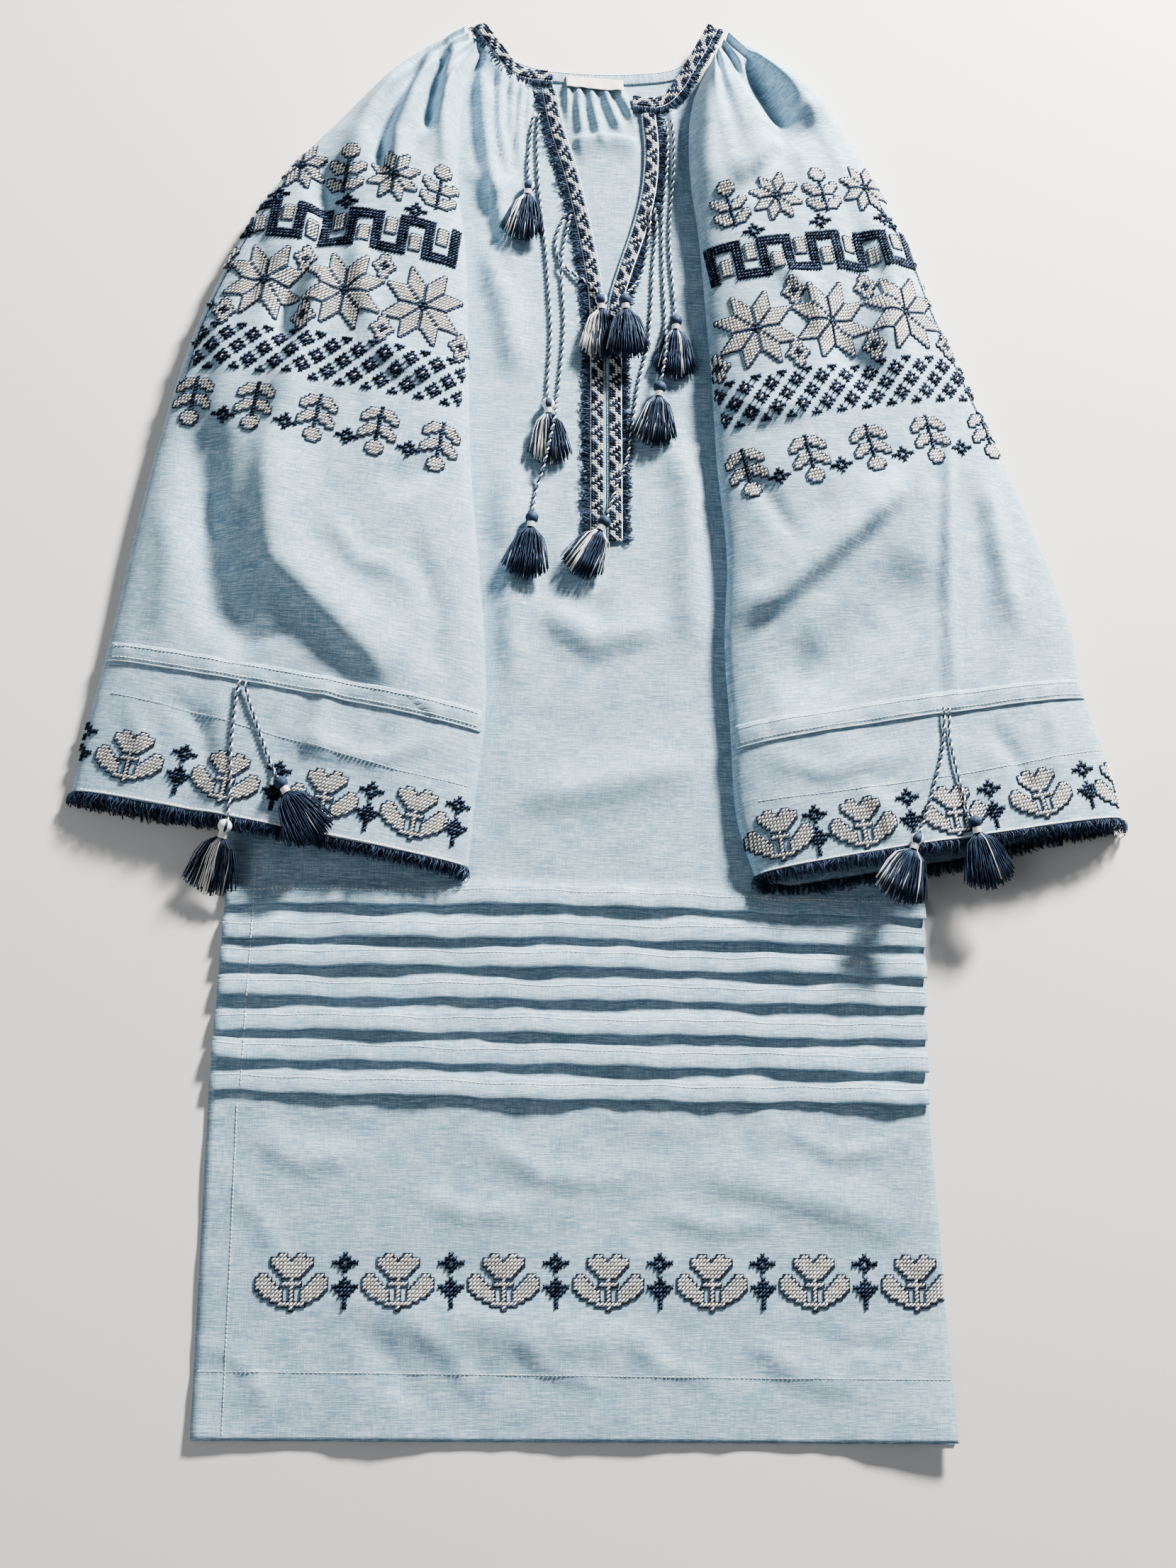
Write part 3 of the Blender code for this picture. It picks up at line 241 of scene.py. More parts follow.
# Creases in millimetres: half width, height, lean to one side, then points along the crease
LEFT_CREASES = (
    (7, 4.0, 0.0, (-94, 1064), (-101, 1025), (-103, 981), (-99, 936)),
    (5, -6.0, 0.0, (-104, 1056), (-110, 1027), (-116, 1001), (-117, 975)),
    (8, 3.5, 0.0, (-112, 1052), (-128, 1011), (-139, 970), (-140, 923)),
    (6, -6.0, 0.0, (-120, 1050), (-137, 1008), (-152, 969), (-152, 930)),
    (9, 3.0, 0.0, (-138, 1045), (-157, 1002), (-167, 970), (-178, 935)),
    (12, -6.0, 0.2, (-196, 945), (-191, 885), (-205, 852), (-219, 825), (-218, 770)),
    (13, 4.0, -0.2, (-196, 870), (-198, 827), (-206, 787), (-210, 757), (-222, 710)),
    (9, 2.5, 0.0, (-167, 875), (-164, 836), (-157, 795)),
    (19, 5.6, 0.35, (-225, 712), (-226, 654), (-218, 605), (-177, 564), (-126, 514)),
    (18, -5.8, 0.0, (-286, 725), (-270, 649), (-254, 582), (-238, 535)),
    (9, -2.6, 0.0, (-142, 668), (-107, 686), (-78, 717)),
    (8, 1.6, 0.0, (-176, 518), (-187, 460)),
    (10, 2.0, 0.0, (-302, 650), (-292, 600), (-297, 552)),
    (9, -1.8, 0.0, (-122, 630), (-101, 580), (-98, 522)),
    (10, 2.0, 0.2, (-156, 786), (-122, 762), (-86, 772)),
    (9, 2.0, 0.0, (-272, 812), (-262, 764), (-269, 715)),
    (7, -1.8, 0.0, (-252, 893), (-240, 855), (-247, 812)),
    (6, 1.4, 0.0, (-96, 478), (-140, 458), (-196, 472)),
    (6, -1.3, 0.0, (-290, 505), (-262, 478), (-255, 440)),
    (5, 1.2, 0.0, (-318, 500), (-305, 470), (-312, 440)),
    (7, 1.7, 0.0, (-180, 640), (-160, 610), (-128, 600)),
    (6, -1.2, 0.0, (-196, 560), (-232, 545), (-260, 520)),
)
RIGHT_CREASES = (
    (11, -9.8, 0.0, (137, 1062), (149, 1032), (164, 1004), (156, 974)),
    (9, 4.0, 0.0, (135, 1066), (161, 1053), (189, 1029), (203, 1004)),
    (10, 4.5, 0.0, (122, 938), (154, 978), (175, 1006), (195, 1024)),
    (10, 3.5, 0.0, (112, 1067), (101, 1022), (98, 978), (100, 928)),
    (7, -3.0, 0.0, (190, 1012), (171, 980), (149, 957), (122, 925)),
    (14, -3.8, 0.2, (210, 915), (222, 877), (210, 840), (200, 804), (226, 762)),
    (10, 3.0, 0.0, (246, 900), (244, 850), (232, 800)),
    (9, -2.6, 0.0, (110, 612), (139, 607), (170, 644), (194, 680)),
    (15, 6.0, 0.48, (100, 574), (143, 590), (178, 621), (216, 656), (250, 690)),
    (4.6, 3.0, 0.0, (283, 728), (278, 660), (275, 585), (273, 512)),
    (25, -5.6, 0.0, (140, 524), (189, 543), (226, 582), (258, 628)),
    (9, 3.0, 0.0, (310, 700), (318, 640), (326, 580)),
    (10, -1.6, 0.0, (296, 690), (302, 620), (296, 550)),
    (8, 2.0, 0.0, (118, 760), (142, 742), (178, 752)),
    (7, -1.8, 0.0, (114, 700), (138, 682), (160, 640)),
    (6, 1.5, 0.0, (136, 470), (180, 458), (226, 476)),
    (6, -1.3, 0.0, (300, 500), (318, 478), (330, 450)),
    (6, 1.4, 0.0, (346, 520), (352, 490), (348, 460)),
    (6, 1.2, 0.0, (200, 452), (222, 430), (226, 408)),
    (7, 1.8, 0.0, (150, 870), (178, 850), (186, 812)),
)
BODY_CREASES = (
    (11, 3.0, 0.2, (-76, 890), (-56, 841), (-44, 780)),
    (16, 2.8, 0.0, (-48, 705), (-50, 610), (-48, 520)),
    (12, 3.0, 0.2, (-26, 586), (16, 560), (66, 578)),
    (12, 3.0, 0.0, (70, 735), (87, 690), (87, 560)),
    (14, 2.6, 0.0, (-40, 440), (20, 452), (88, 472)),
    (9, -1.2, 0.0, (-30, 500), (14, 488), (60, 510)),
    (16, 1.6, 0.0, (-150, 85), (-60, 74), (50, 60)),
    (14, 1.6, 0.2, (90, 178), (150, 160), (218, 148)),
    (7, 1.0, 0.0, (-110, 76), (-80, 55), (-64, 30)),
    (6, -0.9, 0.0, (-136, 70), (-112, 42), (-98, 20)),
    (7, 1.1, 0.3, (-40, 68), (-14, 44), (20, 36)),
    (6, 0.9, 0.0, (36, 72), (60, 48), (92, 40)),
    (8, 1.0, 0.0, (120, 70), (150, 44), (196, 34)),
    (5, -0.8, 0.0, (150, 76), (182, 60), (224, 62)),
    (9, 1.2, 0.3, (-214, 196), (-180, 176), (-150, 184)),
    (7, -1.0, 0.0, (-188, 206), (-150, 198), (-112, 206)),
    (8, 1.1, 0.2, (-60, 196), (-20, 172), (30, 168)),
    (7, -0.9, 0.0, (10, 206), (48, 190), (90, 198)),
    (6, 1.0, 0.0, (150, 206), (182, 190), (214, 196)),
    (6, 0.9, 0.0, (-226, 160), (-206, 140), (-196, 118)),
    (7, 0.9, 0.0, (-100, 160), (-70, 146), (-30, 150)),
    (7, 1.0, 0.0, (60, 150), (96, 140), (140, 144)),
    (6, -0.8, 0.0, (196, 130), (222, 112), (236, 84)),
    (6, 1.0, 0.0, (-230, 60), (-206, 40), (-196, 14)),
    (8, -1.0, 0.0, (-92, 620), (-60, 634), (-30, 628)),
    (9, 1.2, 0.0, (-8, 640), (10, 606), (40, 600)),
)
FRONT_GATHERS = (
    (7.0, 8.4, 0.25, (-75, 1066), (-74, 1030), (-72, 995), (-66, 950), (-54, 895), (-48, 870)),
    (4.0, 6.6, 0.15, (-59, 1052), (-60, 1020), (-59, 990), (-53, 952)),
    (2.8, 4.6, 0.1, (-49, 1046), (-51, 1012), (-51, 984)),
    (3.0, 4.4, 0.0, (-41, 1044), (-44, 1008), (-45, 962)),
    (2.3, 3.0, 0.0, (-34, 1042), (-37, 1012), (-38, 990)),
    (10, 3.4, 0.2, (-84, 958), (-62, 936), (-40, 944)),
    (4.4, 3.4, 0.0, (76, 1030), (80, 990), (81, 950)),
)

# Where the hem lifts off the surface: across, width, height
HEM_LIFTS = (
    (-0.246, 0.030, 0.0020),
    (-0.130, 0.030, 0.0030),
    (0.020, 0.034, 0.0018),
    (0.256, 0.055, 0.0075),
)
HEM_LIFT_REACH = 0.085

# Bands: across, up, height of the underside
NECKBAND_LEFT = ((-0.0180, 1.0430, 0.0031), (-0.0400, 1.0440, 0.0036), (-0.0520, 1.0490, 0.0060),
                 (-0.0660, 1.0650, 0.0095), (-0.0790, 1.0815, 0.0120))
NECKBAND_RIGHT = ((0.0460, 1.0250, 0.0031), (0.0680, 1.0250, 0.0036), (0.0820, 1.0370, 0.0060),
                  (0.0950, 1.0600, 0.0100), (0.1120, 1.0930, 0.0140))
NECKBAND_BACK = ((-0.0760, 1.0790, 0.0030), (-0.0600, 1.0600, 0.0015), (-0.0300, 1.0480, 0.0015),
                 (0.0100, 1.0460, 0.0015), (0.0500, 1.0490, 0.0015), (0.0850, 1.0580, 0.0015),
                 (0.1060, 1.0840, 0.0030))
NECKBAND_WIDTH = 0.0135
BACK_BAND_WIDTH = 0.0105
TRIM_LEFT = ((-0.0205, 1.0325), (-0.0150, 1.0010), (-0.0040, 0.9620), (0.0045, 0.9250),
             (0.0135, 0.8750), (0.0172, 0.8400), (0.0180, 0.7900), (0.0180, 0.7150), (0.0180, 0.6430))
TRIM_RIGHT = ((0.0580, 1.0160), (0.0605, 0.9840), (0.0580, 0.9460), (0.0500, 0.9100),
              (0.0380, 0.8700), (0.0312, 0.8400), (0.0302, 0.7900), (0.0302, 0.7150), (0.0302, 0.6430))

# Cloths opened out flat: width and length
FLAT_BACK_BAND = (0.0125, 0.205)
FLAT_TRIM = (0.0130, 0.392)

# Bands and piping: widths, thicknesses, and steps along them
TRIM_WIDTH = 0.0114
BAND_THICK = 0.0010
PIPING_WIDTH = 0.0012
PIPING_THICK = 0.0011
NECKBAND_THICK = 0.0012
STRIP_STEP = 0.0025
PIPING_STEP = 0.003
CASING_PIPING = 0.0008
PIPING_INSET = 0.0002
PIPING_LIFT = 0.0004
NECK_PIPING_LIFT = 0.0008
CASING_PIPING_SUNK = 0.0003
CUFF_PIPING_SUNK = 0.0002

# Stations of a cuff's edge and of its stitches, and the shares of its width that they span
CUFF_EDGE_STATION = 11.955
CUFF_STITCH_STATION = 11.93
RIM_SHARES = (0.012, 0.988)
SEWN_SHARES = (0.02, 0.98)

# Fringe tape, and the label with its rise from its upper edge to its lower one
FRINGE_ON_BAND = 0.0026
FRINGE_LENGTH = 0.0068
LABEL_CENTRE = (0.0155, 1.0405)
LABEL_SIZE = (0.0460, 0.0120)
LABEL_GRID = (13, 33)
LABEL_LIFT = 0.0026
LABEL_SLANT = 0.0012
LABEL_WALL = 0.0004
LABEL_CLEAR = 0.0004
LABEL_WAVES = ((0.0010, 9.0, 0.0), (0.0006, 21.0, 1.0))
LABEL_CURL_UP = 0.4
LABEL_CURL_OUT = 0.8

# Back in the V: pleats below its neckband, and the fold across under them
BACK_PLEATS = (
    (3.2, 4.6, 0.0, (-11, 1060), (-15, 1022), (-19, 1004)),
    (3.2, 5.2, 0.0, (-4, 1060), (-7, 1020), (-9, 996)),
    (3.6, 5.4, 0.0, (3, 1060), (3, 1021), (6, 990)),
    (3.8, 5.4, 0.0, (11, 1060), (14, 1023), (21, 989)),
    (3.8, 5.2, 0.0, (20, 1060), (26, 1027), (37, 998)),
    (3.4, 4.4, 0.0, (30, 1060), (37, 1032), (49, 1008)),
    (8, 4.2, 0.5, (56, 988), (32, 992), (14, 990), (-4, 986), (-22, 980)),
)

# Pleats under the label: where they grow flatter, how much, and the deepest hollow of the back
UNDER_LABEL = (1.031, 1.041)
LABEL_PRESS = 0.74
BACK_HOLLOW = -0.0003
BACK_CRUMPLE = 0.4

# Cords: width, length of one twist, their width over a ply's, and steps along them
CORD_WIDTH = 0.0026
CORD_LAY = 0.0068
PLY_SHARE = 1.66
CORD_STEP = 0.0011

# Tassels: the ball, the skirt and its threads, and the cream binding between them
HEAD_RADIUS = 0.0044
BALL_FULLER = 1.10
LOWER_END = 0.006
BALL_ROWS = 9
BALL_SPAN = 9.7
BALL_START = 0.35
BALL_SIDES = 30
BALL_THREADS = 15
BALL_GROOVES = 0.030
TURNS_COUNTED = 10
SKIRT_HALF_WIDTH = 0.0178
SKIRT_HALF_HEIGHT = 0.0040
CUFF_TASSEL_FULLER = 1.14
TASSEL_LONGER = 1.09
TASSEL_THREADS = 130
THREAD_SHARES = (0.0, 0.18, 0.42, 0.70, 1.0)
THREAD_HALF = 0.00042
GOLDEN_TURN = 2.399963
SKIRT_ROOT = 0.0024
BOUND_TURNS = 23
BOUND_PITCH = 0.00021
BOUND_RADIUS = 0.0029
BOUND_SIDES = 18
BOUND_FROM = 0.86
BOUND_RELIEF = 0.00024
BOUND_FLARE = 0.00001
CREAM_WEDGE = 1.15
CREAM_STRAY = 0.25
SKIRT_LENGTHS = (0.90, 1.04)
THREAD_FULLNESS = (0.85, 1.1)
SKIRT_FAN = 0.42
SKIRT_FLAT = 0.74
SKIRT_LAP = 0.0006
DRAPE_GAP = 0.0005

# Cream turns, of ten, wound into the ball of a tassel
CREAM_ON_BALL = {"neck_left_short": 3, "neck_left_long": 5, "eyelet_left_short": 2,
                 "cuff_left_outer": 8, "cuff_right_inner": 3}

# Name, route from where the cord leaves the dress to its tassel's head, and the tassel's cream share
CORD_ROUTES = (
    ("neck_left_short",
     ((-0.0325, 1.0090), (-0.0345, 0.9960), (-0.0360, 0.9790), (-0.0370, 0.9610), (-0.0360, 0.9440)),
     (-0.0430, 0.8870), 0.22),
    ("neck_left_long",
     ((-0.0285, 1.0090), (-0.0300, 0.9900), (-0.0290, 0.9510), (-0.0262, 0.9170), (-0.0225, 0.8850),
      (-0.0205, 0.8550), (-0.0185, 0.8210), (-0.0190, 0.7960), (-0.0205, 0.7750), (-0.0205, 0.7560)),
     (-0.0190, 0.7060), 0.34),
    ("eyelet_left_short",
     ((-0.0070, 0.9200), (-0.0120, 0.9080), (-0.0150, 0.8930), (-0.0120, 0.8780), (-0.0030, 0.8680),
      (0.0080, 0.8600), (0.0165, 0.8520), (0.0200, 0.8460)),
     (0.0200, 0.7950), 0.60),
    ("eyelet_left_long",
     ((-0.0035, 0.9190), (-0.0060, 0.9060), (-0.0090, 0.8890), (-0.0105, 0.8680), (-0.0085, 0.8330),
      (-0.0085, 0.8160), (-0.0100, 0.7920), (-0.0130, 0.7620), (-0.0160, 0.7380), (-0.0230, 0.7020),
      (-0.0290, 0.6800), (-0.0315, 0.6600)),
     (-0.0370, 0.6110), 0.05),
    ("neck_right_short",
     ((0.0765, 1.0080), (0.0780, 0.9900), (0.0775, 0.9570), (0.0750, 0.9270), (0.0740, 0.9000),
      (0.0755, 0.8700), (0.0770, 0.8500), (0.0780, 0.8330)),
     (0.0760, 0.7830), 0.10),
    ("neck_right_long",
     ((0.0725, 1.0080), (0.0735, 0.9900), (0.0720, 0.9570), (0.0690, 0.9250), (0.0685, 0.8950),
      (0.0690, 0.8600), (0.0700, 0.8300), (0.0690, 0.8000), (0.0650, 0.7740)),
     (0.0590, 0.7200), 0.12),
    ("eyelet_right_long",
     ((0.0625, 0.9290), (0.0640, 0.9110), (0.0620, 0.8900), (0.0605, 0.8700), (0.0595, 0.8450),
      (0.0560, 0.8080), (0.0490, 0.7760), (0.0445, 0.7440), (0.0395, 0.7100), (0.0310, 0.6860),
      (0.0240, 0.6600)),
     (0.0020, 0.6130), 0.26),
    ("eyelet_right_short",
     ((0.0585, 0.9290), (0.0585, 0.9100), (0.0560, 0.8900), (0.0520, 0.8700), (0.0450, 0.8550),
      (0.0370, 0.8430)),
     (0.0400, 0.7930), 0.06),
    ("cuff_left_outer",
     ((-0.2385, 0.5130), (-0.2400, 0.5000), (-0.2410, 0.4860), (-0.2420, 0.4600), (-0.2410, 0.4350),
      (-0.2420, 0.4110)),
     (-0.2560, 0.3580), 0.30),
    ("cuff_left_inner",
     ((-0.2345, 0.5120), (-0.2310, 0.4980), (-0.2260, 0.4850), (-0.2180, 0.4630), (-0.2090, 0.4420)),
     (-0.1810, 0.3980), 0.03),
    ("cuff_right_inner",
     ((0.2660, 0.5100), (0.2655, 0.4950), (0.2640, 0.4800), (0.2570, 0.4540), (0.2500, 0.4320),
      (0.2430, 0.4140)),
     (0.2240, 0.3640), 0.20),
    ("cuff_right_outer",
     ((0.2700, 0.5100), (0.2695, 0.4950), (0.2705, 0.4800), (0.2750, 0.4580), (0.2800, 0.4360),
      (0.2830, 0.4290)),
     (0.2960, 0.3770), 0.08),
)

# Charts: # is a cream cross, o a navy one
FLOWER = (
    ".......##...##.......",
    ".....#####.#####.....",
    ".....###########.....",
    "......#########......",
    ".......#######.......",
    "..##....#####....##..",
    ".####.....#.....####.",
    ".#####..#####..#####.",
    ".######...#...######.",
    "..######..#..######..",
    "...#####..#..#####...",
    ".....###..#..###.....",
    ".......#######.......",
    "..........#..........",
)
DIAMONDS = (
    "...o...",
    "..ooo..",
    "ooo.ooo",
    "..ooo..",
    "...o...",
    ".......",
    "...o...",
    "..ooo..",
    "ooooooo",
    ".ooooo.",
    "..ooo..",
    "...o...",
    "...o...",
    "...o...",
)
SPRIG = (
    "....###....",
    "...#####...",
    "...#####...",
    "....###....",
    ".....o.....",
    "##...o...##",
    "####.o.####",
    ".####o####.",
    "..###o###..",
    ".....o.....",
    "##...o...##",
    "####.o.####",
    ".####o####.",
    "..###o###..",
    ".....o.....",
)
SPARK = (
    "...o...",
    "..ooo..",
    "ooo.ooo",
    "..ooo..",
    "...o...",
)
KNOT = (
    ".o.",
    "ooo",
    ".o.",
)
TRIM_CHART = ("##oo", "##oo", "o##o", "oo##", "oo##", "oo##", "o##o", "##oo", "#oo#", "oo#o")
TRIM_SHIFT = 0.0007
NECK_SHIFT = 0.0022
BAND_CELL = 0.00205
CELL_ACROSS = 0.00245
CELL_UP = 0.00262

# Where the skirt's flowers start at the left, and the rise of their row to the right
SKIRT_PITCH = 0.0699
SKIRT_FIRST = -0.1855
SKIRT_COUNT = 7
SKIRT_UP = 0.1005
SKIRT_CLIMB = 0.0095
SKIRT_TURN = 0.5

# Flowers and diamonds of the cuffs: across, up, turn in degrees
LEFT_CUFF = (
    (-0.3115, 0.4565, -11), (-0.2445, 0.4420, -11), (-0.1760, 0.4310, -9), (-0.1130, 0.4205, -9),
)
LEFT_CUFF_DIAMONDS = (
    (-0.2760, 0.4485, -12), (-0.2100, 0.4375, -10), (-0.1450, 0.4248, -9), (-0.0840, 0.4178, -8),
    (-0.3460, 0.4662, -12),
)
RIGHT_CUFF = (
    (0.1450, 0.4127, 8), (0.2038, 0.4216, 9), (0.2711, 0.4336, 10), (0.3359, 0.4497, 13),
    (0.4010, 0.4625, 13),
)
RIGHT_CUFF_DIAMONDS = (
    (0.1710, 0.4160, 7), (0.2384, 0.4306, 9), (0.2998, 0.4405, 10), (0.3721, 0.4595, 12),
)

# Upper sleeves, a generic design: motifs in turn and how many, then first and last place of each row
DESIGN_ROWS = (
    (("sprig", "star_small"), 4), (("meander",), 1), (("star",), 3), (("lozenge",), 3), (("lozenge",), 4),
    (("lattice",), 1), (("sprig_down",), 5), (("spark",), 4), (("spark",), 3),
)
LEFT_DESIGN = (
    ((-0.1060, 0.9220), (-0.2120, 0.9380)),
    ((-0.0940, 0.8720), (-0.2500, 0.8920)),
    ((-0.1170, 0.8170), (-0.2350, 0.8340)),
    ((-0.1465, 0.8480), (-0.2640, 0.8620)),
    ((-0.0880, 0.7880), (-0.2640, 0.8080)),
    ((-0.0830, 0.7560), (-0.2850, 0.7800)),
    ((-0.1020, 0.7040), (-0.2830, 0.7340)),
    ((-0.1245, 0.6990), (-0.2600, 0.7200)),
    ((-0.1240, 0.8990), (-0.2280, 0.9120)),
)
RIGHT_DESIGN = (
    ((0.1180, 0.9200), (0.2260, 0.9450)),
    ((0.1020, 0.8680), (0.2620, 0.8950)),
    ((0.1360, 0.8120), (0.2520, 0.8340)),
    ((0.1650, 0.8450), (0.2810, 0.8680)),
    ((0.1080, 0.7820), (0.2860, 0.8120)),
    ((0.1060, 0.7480), (0.3060, 0.7860)),
    ((0.1280, 0.6940), (0.3140, 0.7380)),
    ((0.1510, 0.6900), (0.2910, 0.7220)),
    ((0.1360, 0.8970), (0.2400, 0.9200)),
)

# Sewn line with small knots near each sleeve's outer edge, and the room between its knots
LEFT_EDGE_LINE = ((-0.2050, 0.9530), (-0.2350, 0.9040), (-0.2610, 0.8500), (-0.2790, 0.8000),
                  (-0.2890, 0.7560), (-0.2930, 0.7400))
RIGHT_EDGE_LINE = ((0.2400, 0.9280), (0.2620, 0.8850), (0.2760, 0.8400), (0.2940, 0.7900),
                   (0.3110, 0.7480), (0.3150, 0.7360))
KNOT_ROOM = 0.034

# Stitch lines seen on the sleeves' lower parts, as points across and up
LEFT_CUFF_SEAM = ((-0.3280, 0.5050), (-0.2600, 0.4880), (-0.2054, 0.4723), (-0.1277, 0.4525),
                  (-0.0760, 0.4440))
RIGHT_CUFF_SEAM = ((0.1300, 0.4380), (0.1850, 0.4450), (0.2600, 0.4580), (0.3300, 0.4740),
                   (0.3860, 0.4880))

# What belongs to each side
SIGN = {"left": -1, "right": 1}
SECTIONS = {"left": LEFT_SECTIONS, "right": RIGHT_SECTIONS}
SLEEVE_CREASES = {"left": LEFT_CREASES, "right": RIGHT_CREASES}
NECK = {"left": NECK_LEFT, "right": NECK_RIGHT}
NECKBAND = {"left": NECKBAND_LEFT, "right": NECKBAND_RIGHT}
NECKBAND_FLAT = {"left": (0.0155, 0.075), "right": (0.0155, 0.103)}
TRIM = {"left": TRIM_LEFT, "right": TRIM_RIGHT}
CUFF_SEAM = {"left": LEFT_CUFF_SEAM, "right": RIGHT_CUFF_SEAM}
CUFF_MOTIFS = {
    "left": ((FLOWER, LEFT_CUFF), (DIAMONDS, LEFT_CUFF_DIAMONDS)),
    "right": ((FLOWER, RIGHT_CUFF), (DIAMONDS, RIGHT_CUFF_DIAMONDS)),
}
DESIGN = {"left": LEFT_DESIGN, "right": RIGHT_DESIGN}
EDGE_LINE = {"left": LEFT_EDGE_LINE, "right": RIGHT_EDGE_LINE}

# Stitches: how far they lie over the cloth, the size of a place already sewn, and the steepest
# cloth that takes them
CROSS_LIFT = 0.00010
LINE_LIFT = 0.00035
SEWING_LIFT = 0.00018
SEWN_CELL = 0.0019
STEEPEST = 0.25

# Embroidery: a cross's share of a cell, then stitches by their shares of its length and of the
# thread's width, their rise and their unevenness
CROSS_SPAN = 1.02
CREAM_CROSS = (1.0, 1.0, 0.00085, 0.08)
NAVY_CROSS = (1.03, 1.10, 0.00095, 0.10)
OUTLINE_STITCH = (1.38, 0.95, 0.00045, 0.05)

# Shares of a cell: a stitch of a knotted line, and how far from its middle its outline lies
LINE_STITCH = 1.2
BESIDE_CELL = 0.66

# Sewing stitches, and how far inside edges they lie
SEWING_STITCH = (0.0020, 0.00046, 0.00030, 0.08)
TUCK_SEWN = (-0.243, 0.249, 40)
CASING_SEWN = 0.045
TRIM_SEWN = 0.0009
BAND_SEWN = 0.0012
HEM_CLEAR = 0.0012
DIAMOND_UP = 0.0015

# Lines of sewing on the skirt
HEM_STITCHES = ((-0.2440, 0.0430), (-0.10, 0.0425), (0.08, 0.0415), (0.2540, 0.0410))
SIDE_SEAM_LOW = ((-0.2260, 0.0030), (-0.2262, 0.1000), (-0.2268, 0.2180))
SIDE_SEAM_HIGH = ((-0.2250, 0.2300), (-0.2235, 0.3000), (-0.2215, 0.3860))

# Fringes: length, half thickness, rise and unevenness of their threads
FRINGE_LAYERS = 2
TRIM_FRINGE = (1.15 * FRINGE_LENGTH, 0.00036, 0.0014, 0.34)
NECK_FRINGE = (0.0062, 0.00036, 0.0011, 0.34)
CUFF_FRINGE = (0.0100, 0.00034, 0.0021, 0.40)

# Fringe threads: sideways lean, turn up or down, stray roots, lengths, and how layers lie apart
FRINGE_LEAN = 0.5
FRINGE_TURN = (-0.25, 0.30)
FRINGE_STRAY = 0.0004
FRINGE_LENGTHS = (0.72, 1.08)
LAYER_LIFT = 0.0003
TRIM_FRINGE_LIFT = 0.0005
TRIM_FRINGE_OUT = 0.0002
NECK_FRINGE_LIFT = 0.0015
NECK_FRINGE_DROOP = 0.10
CUFF_FRINGE_DROOP = 0.20
DROOPS_ABOVE = 0.008
CUFF_ROOT_LOW = 0.0012
CUFF_ROOT_IN = 0.0004

# Camera: how it looked down on the dress
FOCAL_PIXELS = 3200.0
PHOTO_SIZE = (1659, 2212)
HEM_PIXEL = (806.0, 2035.0)
SENSOR_HEIGHT = 36.0
PLANE_NORMAL = Vector((0.10387, 0.31434, 0.94361)).normalized()
PLANE_TURN = math.radians(-2.0)
CAMERA_HEIGHT = 1.534

# Floor, and lights: name, place, width, share of the main light's power, colour
FLOOR_HALF = 6.0
LIGHTS = (
    ("key", (1.25, 2.1, 1.15), 0.45, 1.0, (1.0, 0.98, 0.95)),
    ("fill", (-1.8, -0.8, 1.9), 2.0, 0.06, (0.92, 0.96, 1.0)),
)

# Surfaces that cords and tassels lie on, finished and as packed, and the most that they differ by
FINISHED = ("back", "front", "sleeve_left", "sleeve_right", "casing_left", "casing_right",
            "neckband_left", "neckband_right", "trim_left", "trim_right")
PACKED = ("back_panel", "front_panel", "packed_sleeve_left", "packed_sleeve_right")
MOST_RISEN = 0.006

SURFACES = {}


class DressCloth(bpy.types.PropertyGroup):
    linen: FloatVectorProperty(
        name="Linen", description="Colour of the linen", subtype="COLOR",
        default=(0.315, 0.455, 0.565), min=0.0, max=1.0)
    linen_pale: FloatVectorProperty(
        name="Pale thread", description="Colour of the linen's pale slubs", subtype="COLOR",
        default=(0.72, 0.82, 0.88), min=0.0, max=1.0)
    linen_deep: FloatVectorProperty(
        name="Deep thread", description="Colour between the linen's threads", subtype="COLOR",
        default=(0.17, 0.27, 0.36), min=0.0, max=1.0)
    crumple: FloatProperty(
        name="Crumple", description="Height of the small crumples between the main creases",
        default=0.0015, min=0.0, max=0.004, unit="LENGTH")
    seed: IntProperty(name="Seed", description="Seed of everything uneven", default=11, min=0)


class DressThread(bpy.types.PropertyGroup):
    navy: FloatVectorProperty(
        name="Navy", description="Colour of the navy thread", subtype="COLOR",
        default=(0.038, 0.055, 0.092), min=0.0, max=1.0)
    cream: FloatVectorProperty(
        name="Cream", description="Colour of the cream thread", subtype="COLOR",
        default=(1.0, 0.975, 0.90), min=0.0, max=1.0)
    sewing: FloatVectorProperty(
        name="Sewing thread", description="Colour of the pale sewing thread", subtype="COLOR",
        default=(0.84, 0.91, 0.95), min=0.0, max=1.0)
    thickness: FloatProperty(
        name="Thread", description="Half the thickness of the embroidery thread",
        default=0.00056, min=0.0001, max=0.002, unit="LENGTH")
    topstitch: FloatProperty(
        name="Topstitch", description="Length from one sewing stitch to the next",
        default=0.0029, min=0.001, max=0.01, unit="LENGTH")
    fringe_gap: FloatProperty(
        name="Fringe gap", description="Room between neighbouring fringe threads",
        default=0.00085, min=0.0003, max=0.01, unit="LENGTH")


class DressStage(bpy.types.PropertyGroup):
    floor: FloatVectorProperty(
        name="Floor", description="Colour of the floor", subtype="COLOR",
        default=(0.80, 0.78, 0.755), min=0.0, max=1.0)
    key: FloatProperty(
        name="Key light", description="Power of the main light, in watts", default=205.0, min=0.0)
    sky: FloatProperty(
        name="Sky", description="Strength of the light all round", default=0.16, min=0.0)


def wired(operation, swapped=False):
    """A sum of a wire and something else, done by a maths node."""
    def work(wire, other):
        return wire.bench.maths(operation, *((other, wire) if swapped else (wire, other)))

    return work


